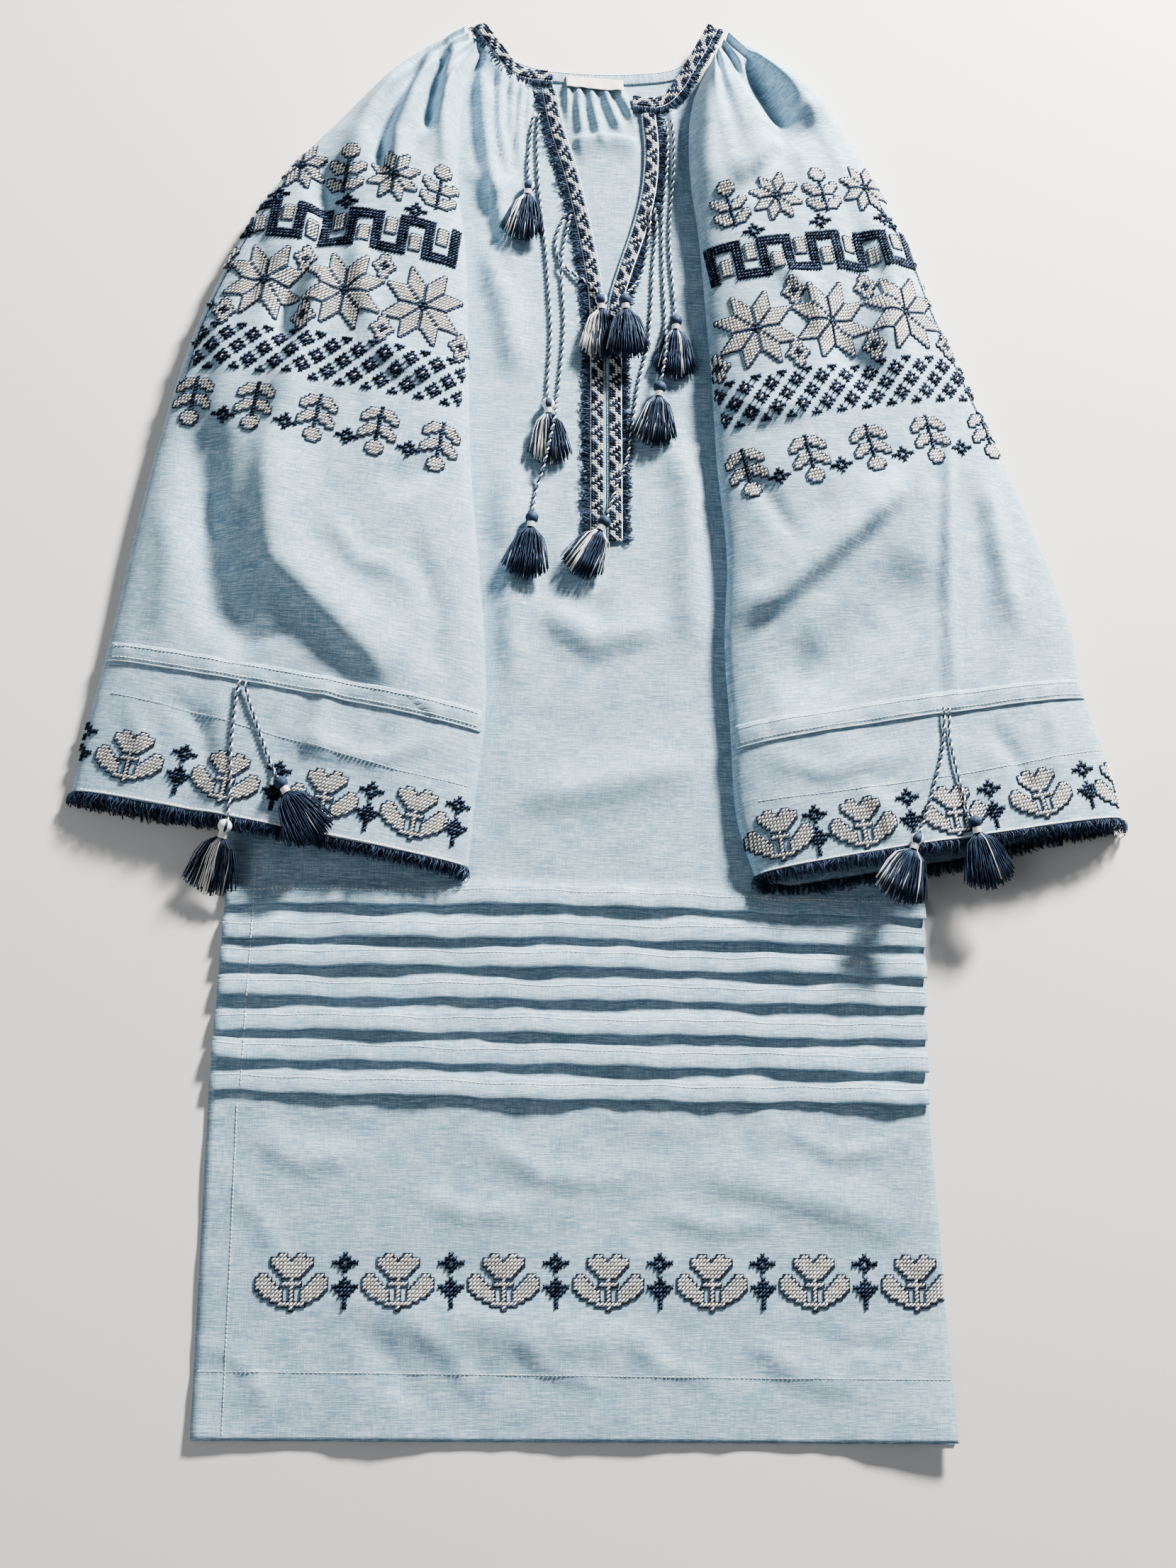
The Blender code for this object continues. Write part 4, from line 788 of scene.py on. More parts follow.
class Wire:
    """A socket that takes part in sums, so that node maths reads as an expression."""
    __add__ = wired("ADD")
    __radd__ = wired("ADD", True)
    __sub__ = wired("SUBTRACT")
    __rsub__ = wired("SUBTRACT", True)
    __mul__ = wired("MULTIPLY")
    __rmul__ = wired("MULTIPLY", True)
    __pow__ = wired("POWER")

    def __init__(self, bench, socket):
        self.bench = bench
        self.socket = socket


class Bench:
    """A node tree, and the one way in which nodes are added to it."""

    def __init__(self, tree):
        self.tree = tree

    def add(self, kind, values=None, output=0, **settings):
        node = self.tree.nodes.new(kind)
        for key, value in settings.items():
            setattr(node, key, value)
        self.fill(node, values or {})
        return Wire(self, node.outputs[output])

    def fill(self, node, values):
        for key, value in values.items():
            self.feed(node.inputs[key], value)

    def feed(self, socket, value):
        wires = [value] if isinstance(value, Wire) else value
        if isinstance(wires, list):
            for wire in wires:
                self.tree.links.new(wire.socket, socket)
        else:
            socket.default_value = value

    def maths(self, operation, first, second=0.0):
        return self.add("ShaderNodeMath", {0: first, 1: second}, operation=operation)

    def vector(self, x=0.0, y=0.0, z=0.0):
        return self.add("ShaderNodeCombineXYZ", {"X": x, "Y": y, "Z": z})

    def noise(self, place, scale, detail):
        return self.add("ShaderNodeTexNoise", {"Vector": place, "Scale": scale, "Detail": detail})

    def slubs(self, place, scale, detail):
        """Noise drawn out along one direction, as slubs run along a thread."""
        return self.noise(self.add("ShaderNodeMapping", {"Vector": place, "Scale": scale}), 1.0, detail)

    def ramp(self, share, *stops):
        wire = self.add("ShaderNodeValToRGB", {"Fac": share})
        for element, (place, shade) in zip(wire.socket.node.color_ramp.elements, stops):
            element.position = place
            element.color = (shade, shade, shade, 1.0)
        return wire

    def blend(self, share, first, second):
        return self.add("ShaderNodeMix", {"Factor": share, 6: first, 7: second}, 2, data_type="RGBA")

    def bump(self, strength, distance, height):
        return self.add("ShaderNodeBump", {"Strength": strength, "Distance": distance, "Height": height})

    def store(self, geometry, name, value, domain="POINT"):
        values = {"Geometry": geometry, "Name": name, "Value": value}
        return self.add("GeometryNodeStoreNamedAttribute", values, data_type="FLOAT", domain=domain)

    def chance(self, low, high, seed):
        return self.add("FunctionNodeRandomValue", {2: low, 3: high, "Seed": seed}, 1, data_type="FLOAT")


def tint(colour, share):
    """A colour made lighter or darker, as a shader's socket takes it."""
    return tuple(min(1.0, part * share) for part in colour[:3]) + (1.0,)


def start_material(name):
    material = bpy.data.materials.new(name)
    material.use_nodes = True
    tree = material.node_tree
    return material, Bench(tree), tree.nodes["Principled BSDF"]


def linen_material(name, cloth, shade):
    """Plain weave with slubs both ways: the cloth map is in metres of cloth."""
    material, bench, shader = start_material(name)
    place = bench.add("ShaderNodeUVMap", uv_map="cloth")
    weft = bench.slubs(place, (60.0, 1200.0, 1.0), 3.0)
    warp = bench.slubs(place, (1100.0, 90.0, 1.0), 3.0)
    short = bench.slubs(place, (230.0, 1600.0, 1.0), 2.0)
    across = bench.add("ShaderNodeSeparateXYZ", {"Vector": place}, "X")
    along = Wire(bench, across.socket.node.outputs["Y"])
    over = bench.maths("SINE", across * WEAVE_PITCH) * bench.maths("SINE", along * WEAVE_PITCH)
    threads = weft * 0.46 + warp * 0.22 + short * 0.32
    cloudy = bench.ramp(bench.noise(place, 60.0, 6.0), (0.36, 0.0), (0.66, 1.0))
    pale = bench.ramp(threads, (0.49, 0.0), (0.61, 1.0))
    deep = bench.ramp(threads, (0.38, 1.0), (0.50, 0.0))
    pale_tint = tint(cloth.linen_pale, shade)
    ground = bench.blend(cloudy * 0.27, tint(cloth.linen, shade), pale_tint)
    slubbed = bench.blend(pale * 0.78, ground, pale_tint)
    bench.fill(shader, {
        "Base Color": bench.blend(deep * 0.58, slubbed, tint(cloth.linen_deep, shade)),
        "Roughness": 0.94 - pale * 0.16,
        "Normal": bench.bump(0.55, 0.00035, threads * 1.3 + over * 0.16),
        "Sheen Weight": 0.12,
        "Sheen Roughness": 0.5,
        "Specular IOR Level": 0.25,
    })
    return material


def thread_material(name, colour, contrast, rough, sunk=0.12, shine=0.22):
    """Twisted cotton: fibres drawn with fine noise, each stitch a little lighter or darker. The sunk colour
    is painted shade, laid on the ends of stitches and on the under stitch of a cross.
    """
    material, bench, shader = start_material(name)
    place = bench.add("ShaderNodeTexCoord", output="Object")
    fibre = bench.noise(place, 2600.0, 3.0)
    patch = bench.noise(place, 240.0, 2.0)
    tone = bench.add("ShaderNodeAttribute", output="Fac", attribute_name="tone")
    dip = bench.add("ShaderNodeAttribute", output="Fac", attribute_name="dip")
    share = bench.ramp(fibre * 0.55 + patch * 0.45 + tone * 0.45, (0.25, 0.0), (0.75, 1.0))
    threads = bench.blend(share, tint(colour, 1.0 - contrast), tint(colour, 1.0 + contrast))
    bench.fill(shader, {
        # Painted shade: the thread mixes towards its sunk colour where a stitch goes into the cloth and under
        # a cross's upper stitch
        "Base Color": bench.blend(dip * 0.92, threads, tint(colour, sunk)),
        "Roughness": rough + 0.12 * fibre,
        "Normal": bench.bump(0.5, 0.0002, fibre),
        "Specular IOR Level": shine,
    })
    return material


def tape_material(name, colour):
    """Close-woven tape of the label, with its ribs across."""
    material, bench, shader = start_material(name)
    rib = bench.slubs(bench.add("ShaderNodeUVMap", uv_map="cloth"), (60.0, 3600.0, 1.0), 2.0)
    bench.fill(shader, {
        "Base Color": bench.blend(rib, tint(colour, 0.86), tint(colour, 1.12)),
        "Roughness": 0.80 + 0.1 * rib,
        "Normal": bench.bump(0.4, 0.0002, rib),
    })
    return material


def floor_material(name, colour):
    material, bench, shader = start_material(name)
    grain = bench.noise(bench.add("ShaderNodeTexCoord", output="Object"), 900.0, 2.0)
    bench.fill(shader, {
        "Base Color": bench.blend(grain, tint(colour, 0.97), tint(colour, 1.03)),
        "Roughness": 0.9,
    })
    return material


def material(name):
    """The material of a name, made when it is first asked for."""
    found = bpy.data.materials.get(name)
    if found is not None:
        return found
    cloth = bpy.context.scene.dress_cloth
    thread = bpy.context.scene.dress_thread
    makers = {
        "dress_linen": lambda: linen_material(name, cloth, 1.0),
        # The linen a tenth darker, as painted shade, for the back seen inside the dress
        "dress_linen_inside": lambda: linen_material(name, cloth, 0.90),
        # Navy and cream threads take painted shade on stitch ends and under stitches, as dark as their sunk
        # share
        "dress_navy": lambda: thread_material(name, tint(thread.navy, 1.50), 0.88, 0.50),
        "dress_navy_soft": lambda: thread_material(name, tint(thread.navy, 1.60), 0.92, 0.52),
        "dress_cream": lambda: thread_material(name, thread.cream, 0.18, 0.60, 0.26, 0.5),
        "dress_sewing": lambda: thread_material(name, thread.sewing, 0.15, 0.70, shine=0.4),
        "dress_piping": lambda: thread_material(name, thread.sewing, 0.12, 0.75, shine=0.4),
        "dress_label": lambda: tape_material(name, (0.66, 0.62, 0.56)),
    }
    return makers[name]()


def catmull(a, b, c, d, t):
    return 0.5 * (2.0 * b + (c - a) * t + (2.0 * a - 5.0 * b + 4.0 * c - d) * t * t
                  + (3.0 * (b - c) + d - a) * t * t * t)


def row_at(rows, station):
    """A table's row at a station between its rows, every column on a smooth curve."""
    last = len(rows) - 1
    k = min(int(station), last - 1)
    before = rows[max(k - 1, 0)]
    after = rows[min(k + 2, last)]
    return tuple(catmull(a, b, c, d, station - k)
                 for a, b, c, d in zip(before, rows[k], rows[k + 1], after))


def walked(points):
    """Length walked along points, at each of them."""
    return np.cumsum([0.0] + [(b - a).length for a, b in zip(points, points[1:])])


def points_at(wanted, lengths, rows):
    """Points at wanted lengths along rows of places."""
    columns = [np.interp(wanted, lengths, places) for places in zip(*rows)]
    return [Vector(values) for values in zip(*columns)]


def smooth_path(rows, step):
    """Points about one step apart on the smooth curve through a table's rows."""
    fine = [Vector(row_at(rows, i / 24.0)) for i in range(24 * (len(rows) - 1) + 1)]
    lengths = walked(fine)
    count = max(2, round(lengths[-1] / step))
    return points_at(np.linspace(0.0, lengths[-1], count + 1), lengths, fine)


def column(rows, keys, index):
    """A straight-line reading of one column of a table, for many keys at once."""
    order = sorted(rows)
    return np.interp(keys, [row[0] for row in order], [row[index] for row in order])


def down_path(path, y):
    """Across, on a path that runs down the dress, at heights y."""
    return column([(row[1], row[0]) for row in path], y, 1)


def smooth_step(low, high, values):
    share = np.clip((values - low) / (high - low), 0.0, 1.0)
    return share * share * (3.0 - 2.0 * share)


def creases(x, y, rows):
    """Sum of soft ridges and troughs, each fading out at its two ends."""
    px, py = x / MM, y / MM
    total = np.zeros_like(px)
    for half_width, height, lean, *points in rows:
        line = np.array(points, float)
        runs = line[1:] - line[:-1]
        lengths = np.hypot(runs[:, 0], runs[:, 1])
        whole = lengths.sum()
        walked = 0.0
        best = np.full(px.shape, 1e9)
        along = np.zeros_like(px)
        aside = np.zeros_like(px)
        for start, run, length in zip(line, runs, lengths):
            dx, dy = px - start[0], py - start[1]
            share = np.clip((dx * run[0] + dy * run[1]) / length ** 2, 0.0, 1.0)
            away = np.hypot(dx - run[0] * share, dy - run[1] * share)
            nearer = away < best
            best = np.where(nearer, away, best)
            along = np.where(nearer, (walked + share * length) / whole, along)
            aside = np.where(nearer, np.sign(run[0] * dy - run[1] * dx), aside)
            walked += length
        fade = smooth_step(-0.10, 0.22, along) * smooth_step(-0.10, 0.22, 1.0 - along)
        width = half_width * (1.0 + lean * aside)
        total += height * MM * fade * np.exp(-(best / width) ** 2)
    return total


def crumple(x, y, seed):
    """Small uneven crumples, nought on average, about one high."""
    flat = []
    for a, b in zip(x.ravel(), y.ravel()):
        broad = noise.noise(Vector((a * 27.0, b * 24.0, seed)))
        fine = noise.noise(Vector((a * 85.0, b * 70.0, seed + 5.0)))
        sharp = 0.5 - 2.0 * abs(noise.noise(Vector((a * 40.0 + 3.0, b * 34.0, seed + 9.0))))
        thin = 0.5 - 2.0 * abs(noise.noise(Vector((a * 21.0, b * 17.0 + 4.0, seed + 2.0))))
        flat.append(0.7 * broad + 0.20 * fine + 0.34 * sharp + 0.34 * thin)
    return np.array(flat).reshape(x.shape)


def body_edge(side, y):
    return column(BODY_EDGES, y, 1 if side == "left" else 2)


def between_sleeves(x, y, fade):
    """One between the sleeves' inner edges, nought under them."""
    left, right = (down_path(SECTIONS[side], y) for side in SIDES)
    return smooth_step(*fade, x - left) * smooth_step(*fade, right - x)


def past_fringe(x, y):
    """How far a place lies outside the fringes of the V and placket."""
    reach = TRIM_WIDTH / 2 + FRINGE_LENGTH
    return np.maximum(down_path(TRIM_LEFT, y) - reach - x, x - down_path(TRIM_RIGHT, y) - reach)


def shown_share(x, y):
    """One where the front shows and carries nothing, nought under sleeves and bands."""
    share = np.where(y > CUFF_FOOT, between_sleeves(x, y, BESIDE_SLEEVE), 1.0)
    outside = smooth_step(*BESIDE_FRINGE, past_fringe(x, y))
    below = smooth_step(*BELOW_PLACKET, PLACKET_FOOT - y)
    return share * np.where(y > PLACKET_FOOT, outside, np.maximum(outside, below))


def hem_lift(x, y):
    rise = sum(height * np.exp(-((x - middle) / width) ** 2) for middle, width, height in HEM_LIFTS)
    return rise * (1.0 - smooth_step(0.0, HEM_LIFT_REACH, y))


def tuck_edge(k, x):
    """Height of a tuck's fold edge across the skirt, a little wavy."""
    left, middle, right = TUCK_EDGES[k]
    level = np.interp(x, TUCK_SPAN, (left, middle, right))
    return level + TUCK_WAVE * np.sin(x * 47.0 + 1.7 * k) + TUCK_RIPPLE * np.sin(x * 131.0 + 2.9 * k * k)


def cloth_mesh(name, grid, wrap=False):
    """A mesh from a grid of points, with a map in metres of cloth."""
    rows, columns = grid.shape[:2]
    across = np.zeros((rows, columns))
    across[:, 1:] = np.cumsum(np.linalg.norm(grid[:, 1:] - grid[:, :-1], axis=2), axis=1)
    middle = grid[:, columns // 2]
    along = np.concatenate([[0.0], np.cumsum(np.linalg.norm(middle[1:] - middle[:-1], axis=1))])
    across -= 0.5 * across[:, -1:]
    uv = np.stack([across, np.repeat(along[:, None], columns, axis=1)], axis=2).reshape(-1, 2)
    index = np.arange(rows * columns).reshape(rows, columns)
    corners = (index[:-1, :-1], index[:-1, 1:], index[1:, 1:], index[1:, :-1])
    faces = np.stack([corner.ravel() for corner in corners], axis=1)
    mesh = bpy.data.meshes.new(name)
    mesh.from_pydata(grid.reshape(-1, 3).tolist(), [], faces.tolist())
    layer = mesh.uv_layers.new(name="cloth")
    layer.data.foreach_set("uv", uv[faces.ravel()].ravel())
    if wrap:
        work_mesh(mesh, lambda bm: weld(bm, WELD_WRAP))
    mesh.shade_smooth()
    return mesh


def work_mesh(mesh, work):
    """Works on a mesh by its points, edges and faces."""
    bm = bmesh.new()
    bm.from_mesh(mesh)
    work(bm)
    bm.to_mesh(mesh)
    bm.free()


def mesh_of(name, work):
    """A new mesh out of what some work puts into an empty one."""
    bm = bmesh.new()
    work(bm)
    mesh = bpy.data.meshes.new(name)
    bm.to_mesh(mesh)
    bm.free()
    return mesh


def weld(bm, within):
    bmesh.ops.remove_doubles(bm, verts=bm.verts[:], dist=within)


def surface_of(mesh, origin):
    """A mesh's points, measured from an origin, and the search tree of its faces."""
    verts = [vert.co - origin for vert in mesh.vertices]
    return verts, BVHTree.FromPolygons(verts, [tuple(face.vertices) for face in mesh.polygons])


def remember_surface(name, mesh):
    """Keeps a surface, for what is sewn or laid on it."""
    SURFACES[name] = surface_of(mesh, Vector())[1]


def keep_above_floor(mesh, low):
    places = np.empty(3 * len(mesh.vertices))
    mesh.vertices.foreach_get("co", places)
    places[2::3] = np.maximum(places[2::3], low)
    mesh.vertices.foreach_set("co", places)


def risen(x, y, reach):
    """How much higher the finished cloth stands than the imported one, at most, about a place."""
    most = 0.0
    for dx, dy in ((0.0, 0.0), (reach, 0.0), (-reach, 0.0), (0.0, reach), (0.0, -reach)):
        finished = drop_on(FINISHED, x + dx, y + dy)
        packed = drop_on(PACKED, x + dx, y + dy)
        if finished is not None and packed is not None:
            most = max(most, finished[0].z - packed[0].z)
    return min(most, MOST_RISEN)


def drop_on(names, x, y):
    """Highest point of some surfaces at one place, with its normal."""
    best = None
    for name in names:
        spot, normal, _, _ = SURFACES[name].ray_cast(Vector((x, y, SKY)), -UP)
        if spot is not None and (best is None or spot.z > best[0].z):
            best = (spot, normal if normal.z > 0.0 else -normal)
    return best


def add_piece(name, mesh, materials, replaces=(), wall=0.0):
    """Puts a finished mesh in its place in the frame and makes it ride on the dress."""
    mesh.transform(Matrix.Translation(HEM_MIDDLE))
    if len(materials) == 1:
        mesh.materials.clear()
    for key in materials:
        mesh.materials.append(material(key))
    piece = bpy.data.objects.new(name, mesh)
    bpy.context.collection.objects.link(piece)
    if wall:
        thicken = piece.modifiers.new("Wall", "SOLIDIFY")
        thicken.thickness = wall
        thicken.offset = -1.0
        thicken.use_even_offset = False
    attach(piece, "root")
    if replaces:
        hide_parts(*replaces)
    return piece


def spread_over(*stretches):
    """Even values over stretches, each of from, to and how many."""
    return np.concatenate([np.linspace(*stretch) for stretch in stretches])


def front_rows():
    """Rows of the front along the cloth: a level, or a tuck with its place in the profile."""
    rows = [("level", y) for y in spread_over(*ROWS_BELOW_TUCKS)]
    for k in range(len(TUCK_EDGES)):
        rows += [("tuck", k, reach, rise) for reach, rise in TUCK_PROFILE]
    return rows + [("level", y) for y in spread_over(*ROWS_ABOVE_TUCKS)]


def slit_edge(side, y):
    """Where one half of the front ends: at the slit, or under the V's trim."""
    if y <= SLIT_POINT:
        return SLIT_X
    if side == "left":
        return min(SLIT_X, float(down_path(TRIM_LEFT, y)) + TRIM_WIDTH / 2 - V_LAP)
    return max(SLIT_X, float(down_path(TRIM_RIGHT, y)) - TRIM_WIDTH / 2 + V_LAP)


def half_front(side):
    """Grid of one half of the front, from its side edge to the slit, or back from the slit."""
    share = np.linspace(0.0, 1.0, FRONT_COLUMNS[side])
    neck = NECK[side]
    far = np.array([neck[0 if side == "left" else -1][0]])
    grid = []
    for row in front_rows():
        nominal = row[1] if row[0] == "level" else TUCK_EDGES[row[1]][1] + row[2]
        outer = body_edge(side, bend_to_neck(far, nominal, neck)[0])
        slit = slit_edge(side, nominal)
        start, end = (outer, slit) if side == "left" else (slit, outer)
        grid.append(front_row(row, start + share * (end - start), nominal, neck))
    return np.array(grid)


def bend_to_neck(x, y, neck):
    share = max(0.0, (y - NECK_BEND) / (NECK_LEVEL - NECK_BEND))
    curve = np.interp(x, [row[0] for row in neck], [row[1] for row in neck])
    return y + share * share * (curve - NECK_LEVEL)


def tuck_height(k, x):
    """How high a tuck stands along its length, as shares of its usual rise."""
    broad = np.array([noise.noise(Vector((value * 16.0, k * 7.3, 2.0))) for value in x])
    fine = np.array([noise.noise(Vector((value * 70.0, k * 3.1, 6.0))) for value in x])
    return 1.0 + 1.1 * np.clip(broad, -0.26, 0.6) + 0.22 * fine


def front_row(row, x, nominal, neck):
    """One row of the front: where it lies, and its height with tucks, folds and gathers."""
    cloth = bpy.context.scene.dress_cloth
    tucked = row[0] == "tuck"
    if tucked:
        _, k, reach, rise = row
        y = tuck_edge(k, x) + reach
        lift = rise * TUCK_RISE * tuck_height(k, x)
    else:
        y = bend_to_neck(x, nominal, neck)
        lift = 0.0
    shown = shown_share(x, y)
    relief = BODY_DEPTH * creases(x, y, BODY_CREASES) * shown
    gathers = creases(x, y, FRONT_GATHERS) * gather_share(x, y) if nominal > GATHERS_FOOT else 0.0
    loud = QUIETER + (1.0 - QUIETER) * (y < CRUMPLED_BELOW)
    small = crumple(x, y, cloth.seed) * cloth.crumple * loud * shown
    if tucked:
        relief = relief * TUCK_RELIEF
        small = small * TUCK_CRUMPLE
    edge = np.minimum(x - body_edge("left", y), body_edge("right", y) - x)
    roll = (TUCK_ROLL if tucked else EDGE_ROLL) * (1.0 - smooth_step(0.0, ROLL_REACH, edge))
    z = FRONT_TOP + hem_lift(x, y) + lift + relief + gathers + small - roll
    if nominal > NECK_BEND:
        z = z + neck_rise(x, y)
    return np.stack([x, y, np.maximum(z, BACK_TOP + WALL + LEAST_GAP)], axis=1)


def gather_share(x, y):
    """One where gathers show on the front, nought under the sleeves and the V's fringe."""
    outside = smooth_step(*GATHERS_BESIDE_FRINGE, past_fringe(x, y))
    return between_sleeves(x, y, GATHERS_BESIDE_SLEEVE) * outside


def neck_rise(x, y):
    """How far the cloth below the left neckband climbs to the band's underside."""
    band_y = column(NECKBAND_LEFT, x, 1)
    band_z = column(NECKBAND_LEFT, x, 2)
    near = smooth_step(-NECK_CLIMB, -0.5 * NECKBAND_WIDTH, y - band_y)
    return np.maximum(band_z - FRONT_TOP - UNDER_BAND, 0.0) * near


def make_front():
    halves = [half_front(side) for side in SIDES]
    low = [k for k, row in enumerate(front_rows()) if row[0] == "tuck" or row[1] <= SLIT_POINT]
    seam = max(low) + 1
    whole = np.concatenate([halves[0][:seam], halves[1][:seam, 1:]], axis=1)
    parts = [cloth_mesh("front_body", whole)]
    for side, half in zip(SIDES, halves):
        upper = cloth_mesh("front_upper_" + side, half[seam - 1:])
        shift_map(upper, parts[0], half[seam - 1, 0])
        parts.append(upper)
    mesh = join_meshes("front_panel_cloth", parts)
    remember_surface("front", mesh)
    piece = add_piece("front_panel_cloth", mesh, ("dress_linen",), ("front_panel",), WALL)


def shift_map(mesh, other, corner):
    """Moves a mesh's cloth map so that it goes on from another's at one shared corner."""
    target = nearest_map(other, corner)
    start = nearest_map(mesh, corner)
    layer = mesh.uv_layers["cloth"]
    for loop in layer.data:
        loop.uv += target - start


def nearest_map(mesh, corner):
    spot = Vector(corner)
    best = min(mesh.vertices, key=lambda vert: (vert.co - spot).length_squared).index
    loop = next(loop.index for loop in mesh.loops if loop.vertex_index == best)
    return mesh.uv_layers["cloth"].data[loop].uv.copy()


def join_meshes(name, meshes):
    """One welded mesh out of several that meet."""
    def gather(bm):
        for part in meshes:
            bm.from_mesh(part)
            bpy.data.meshes.remove(part)
        weld(bm, WELD_PARTS)

    mesh = mesh_of(name, gather)
    mesh.shade_smooth()
    return mesh


def back_row(y, top):
    """One row of the back, whose pleats show between the V's trims."""
    cloth = bpy.context.scene.dress_cloth
    low, high = BACK_NECK if top else (float(body_edge(side, y)) for side in SIDES)
    plain_to, plain_from, count = BACK_PLAIN
    x = spread_over((low, plain_to, count), BACK_PLEATED, (plain_from, high, count))
    left = down_path(TRIM_LEFT, y) + TRIM_WIDTH / 2
    right = down_path(TRIM_RIGHT, y) - TRIM_WIDTH / 2
    shown = smooth_step(*BESIDE_TRIM, x - left) * smooth_step(*BESIDE_TRIM, right - x) * (y > SLIT_POINT)
    level = np.full_like(x, y)
    relief = creases(x, level, BACK_PLEATS)
    relief += BACK_CRUMPLE * cloth.crumple * crumple(x, level, cloth.seed + 3)
    relief = np.maximum(relief, BACK_HOLLOW) * (1.0 - LABEL_PRESS * smooth_step(*UNDER_LABEL, y))
    return np.stack([x, level, BACK_TOP + relief * shown], axis=1)


def make_back():
    """The back, flat underneath."""
    levels = spread_over(*BACK_ROWS)
    mesh = cloth_mesh("back_panel_cloth", np.array([back_row(y, y >= levels[-1]) for y in levels]))
    remember_surface("back", mesh)
    close_under(mesh)
    # The back wears the linen darkened as painted shade
    piece = add_piece("back_panel_cloth", mesh, ("dress_linen_inside",), ("back_panel",))


def close_under(mesh):
    """Gives a sheet that lies on the floor a flat underside at the floor."""
    def fall(bm):
        made = bmesh.ops.extrude_face_region(bm, geom=bm.faces[:], use_keep_orig=True)
        for part in made["geom"]:
            if isinstance(part, bmesh.types.BMVert):
                part.co.z = 0.0
        bmesh.ops.recalc_face_normals(bm, faces=bm.faces[:])

    work_mesh(mesh, fall)
    mesh.shade_smooth()
    mesh.set_sharp_from_angle(angle=SHARP_EDGE)


def sleeve_support(x, y, side):
    """Height of a sleeve's under layer: on the body, or down on the floor beyond it."""
    beyond = SIGN[side] * (x - body_edge(side, y))
    return FLOOR_GAP + (SLEEVE_BASE - FLOOR_GAP) * (1.0 - smooth_step(LEAVES_BODY, MEETS_FLOOR, beyond))


def dome(share):
    return np.sqrt(np.maximum(0.0, 1.0 - np.abs(2.0 * share - 1.0) ** DOME_POWER))


def pleats(share, station):
    """Gathers of a sleeve's top, fanning out from the neckband."""
    depth = PLEAT_DEPTH * math.exp(-station / PLEAT_REACH)
    sway = 0.8 * math.sin(1.3 * station)
    broad = np.cos(math.tau * (PLEATS_ACROSS * share + 0.12 * sway))
    return depth * (broad + 0.5 * np.cos(math.tau * FINE_PLEATS * share + sway))


def sleeve_ring(side, station, seed):
    """One closed section: over the top from the inner edge, and back underneath."""
    cloth = bpy.context.scene.dress_cloth
    row = row_at(SECTIONS[side], station)
    start, end, height = np.array(row[0:2]), np.array(row[2:4]), row[4]
    t = np.linspace(0.0, 1.0, TOP_COLUMNS)
    top = ROUNDED_SHARE * (0.5 - 0.5 * np.cos(math.pi * t)) + (1.0 - ROUNDED_SHARE) * t
    x, y = (start[i] + top * (end[i] - start[i]) for i in (0, 1))
    inside = np.minimum(1.0, RELIEF_REACH * top * (1.0 - top))
    relief = SLEEVE_DEPTH * creases(x, y, SLEEVE_CREASES[side]) + crumple(x, y, seed) * cloth.crumple
    relief = relief + pleats(top, station)
    rise = height * (EDGE_LIFT + (1.0 - EDGE_LIFT) * dome(top))
    over = np.stack([x, y, sleeve_support(x, y, side) + rise + relief * inside], axis=1)
    below = under_ring(side, station, start, end, height)
    below[-1] = over[0]
    return np.concatenate([over, below])


def under_ring(side, station, start, end, height):
    """The lower part of a section, bent in at both edges and flat between them."""
    turn = np.linspace(0.0, math.pi / 2.0, 5)[1:]
    bend = CONTACT_INSET * (1.0 - np.cos(turn))
    drop = EDGE_LIFT * height * (1.0 - np.sin(turn))
    under = np.linspace(1.0 - CONTACT_INSET, CONTACT_INSET, 20)[1:-1]
    shares = np.concatenate([1.0 - bend, under, bend[::-1], [0.0]])
    lifts = np.concatenate([drop, np.zeros(len(under)), drop[::-1], [EDGE_LIFT * height]])
    x, y = (start[i] + shares * (end[i] - start[i]) for i in (0, 1))
    run = (end - start) / np.linalg.norm(end - start) * SIGN[side]
    inner, outer = UNDER_WINDOW
    window = smooth_step(*inner, shares) * (1.0 - smooth_step(*outer, shares))
    further = UNDER_REACH[side] * smooth_step(*UNDER_STATIONS, station) * window
    x, y = x + run[1] * further, y - run[0] * further
    return np.stack([x, y, sleeve_support(x, y, side) + lifts], axis=1)


def sleeve_grid(side, stations, seed, columns=slice(None)):
    """Sections of a sleeve in turn, so ordered that its faces look outwards."""
    grid = np.array([sleeve_ring(side, station, seed) for station in stations])[:, columns]
    return grid[:, ::-1] if side == "right" else grid


def make_sleeve(side, seed):
    name = "sleeve_" + side
    last = len(SECTIONS[side]) - 1
    gathered = np.linspace(0.0, GATHERED_TO, GATHERED_ROWS)
    stations = np.concatenate([gathered, np.linspace(GATHERED_TO, last, PLAIN_ROWS)[1:]])
    mesh = cloth_mesh(name + "_cloth", sleeve_grid(side, stations, seed), wrap=True)
    remember_surface(name, mesh)
    piece = add_piece(name + "_cloth", mesh, ("dress_linen",), (name,), WALL)


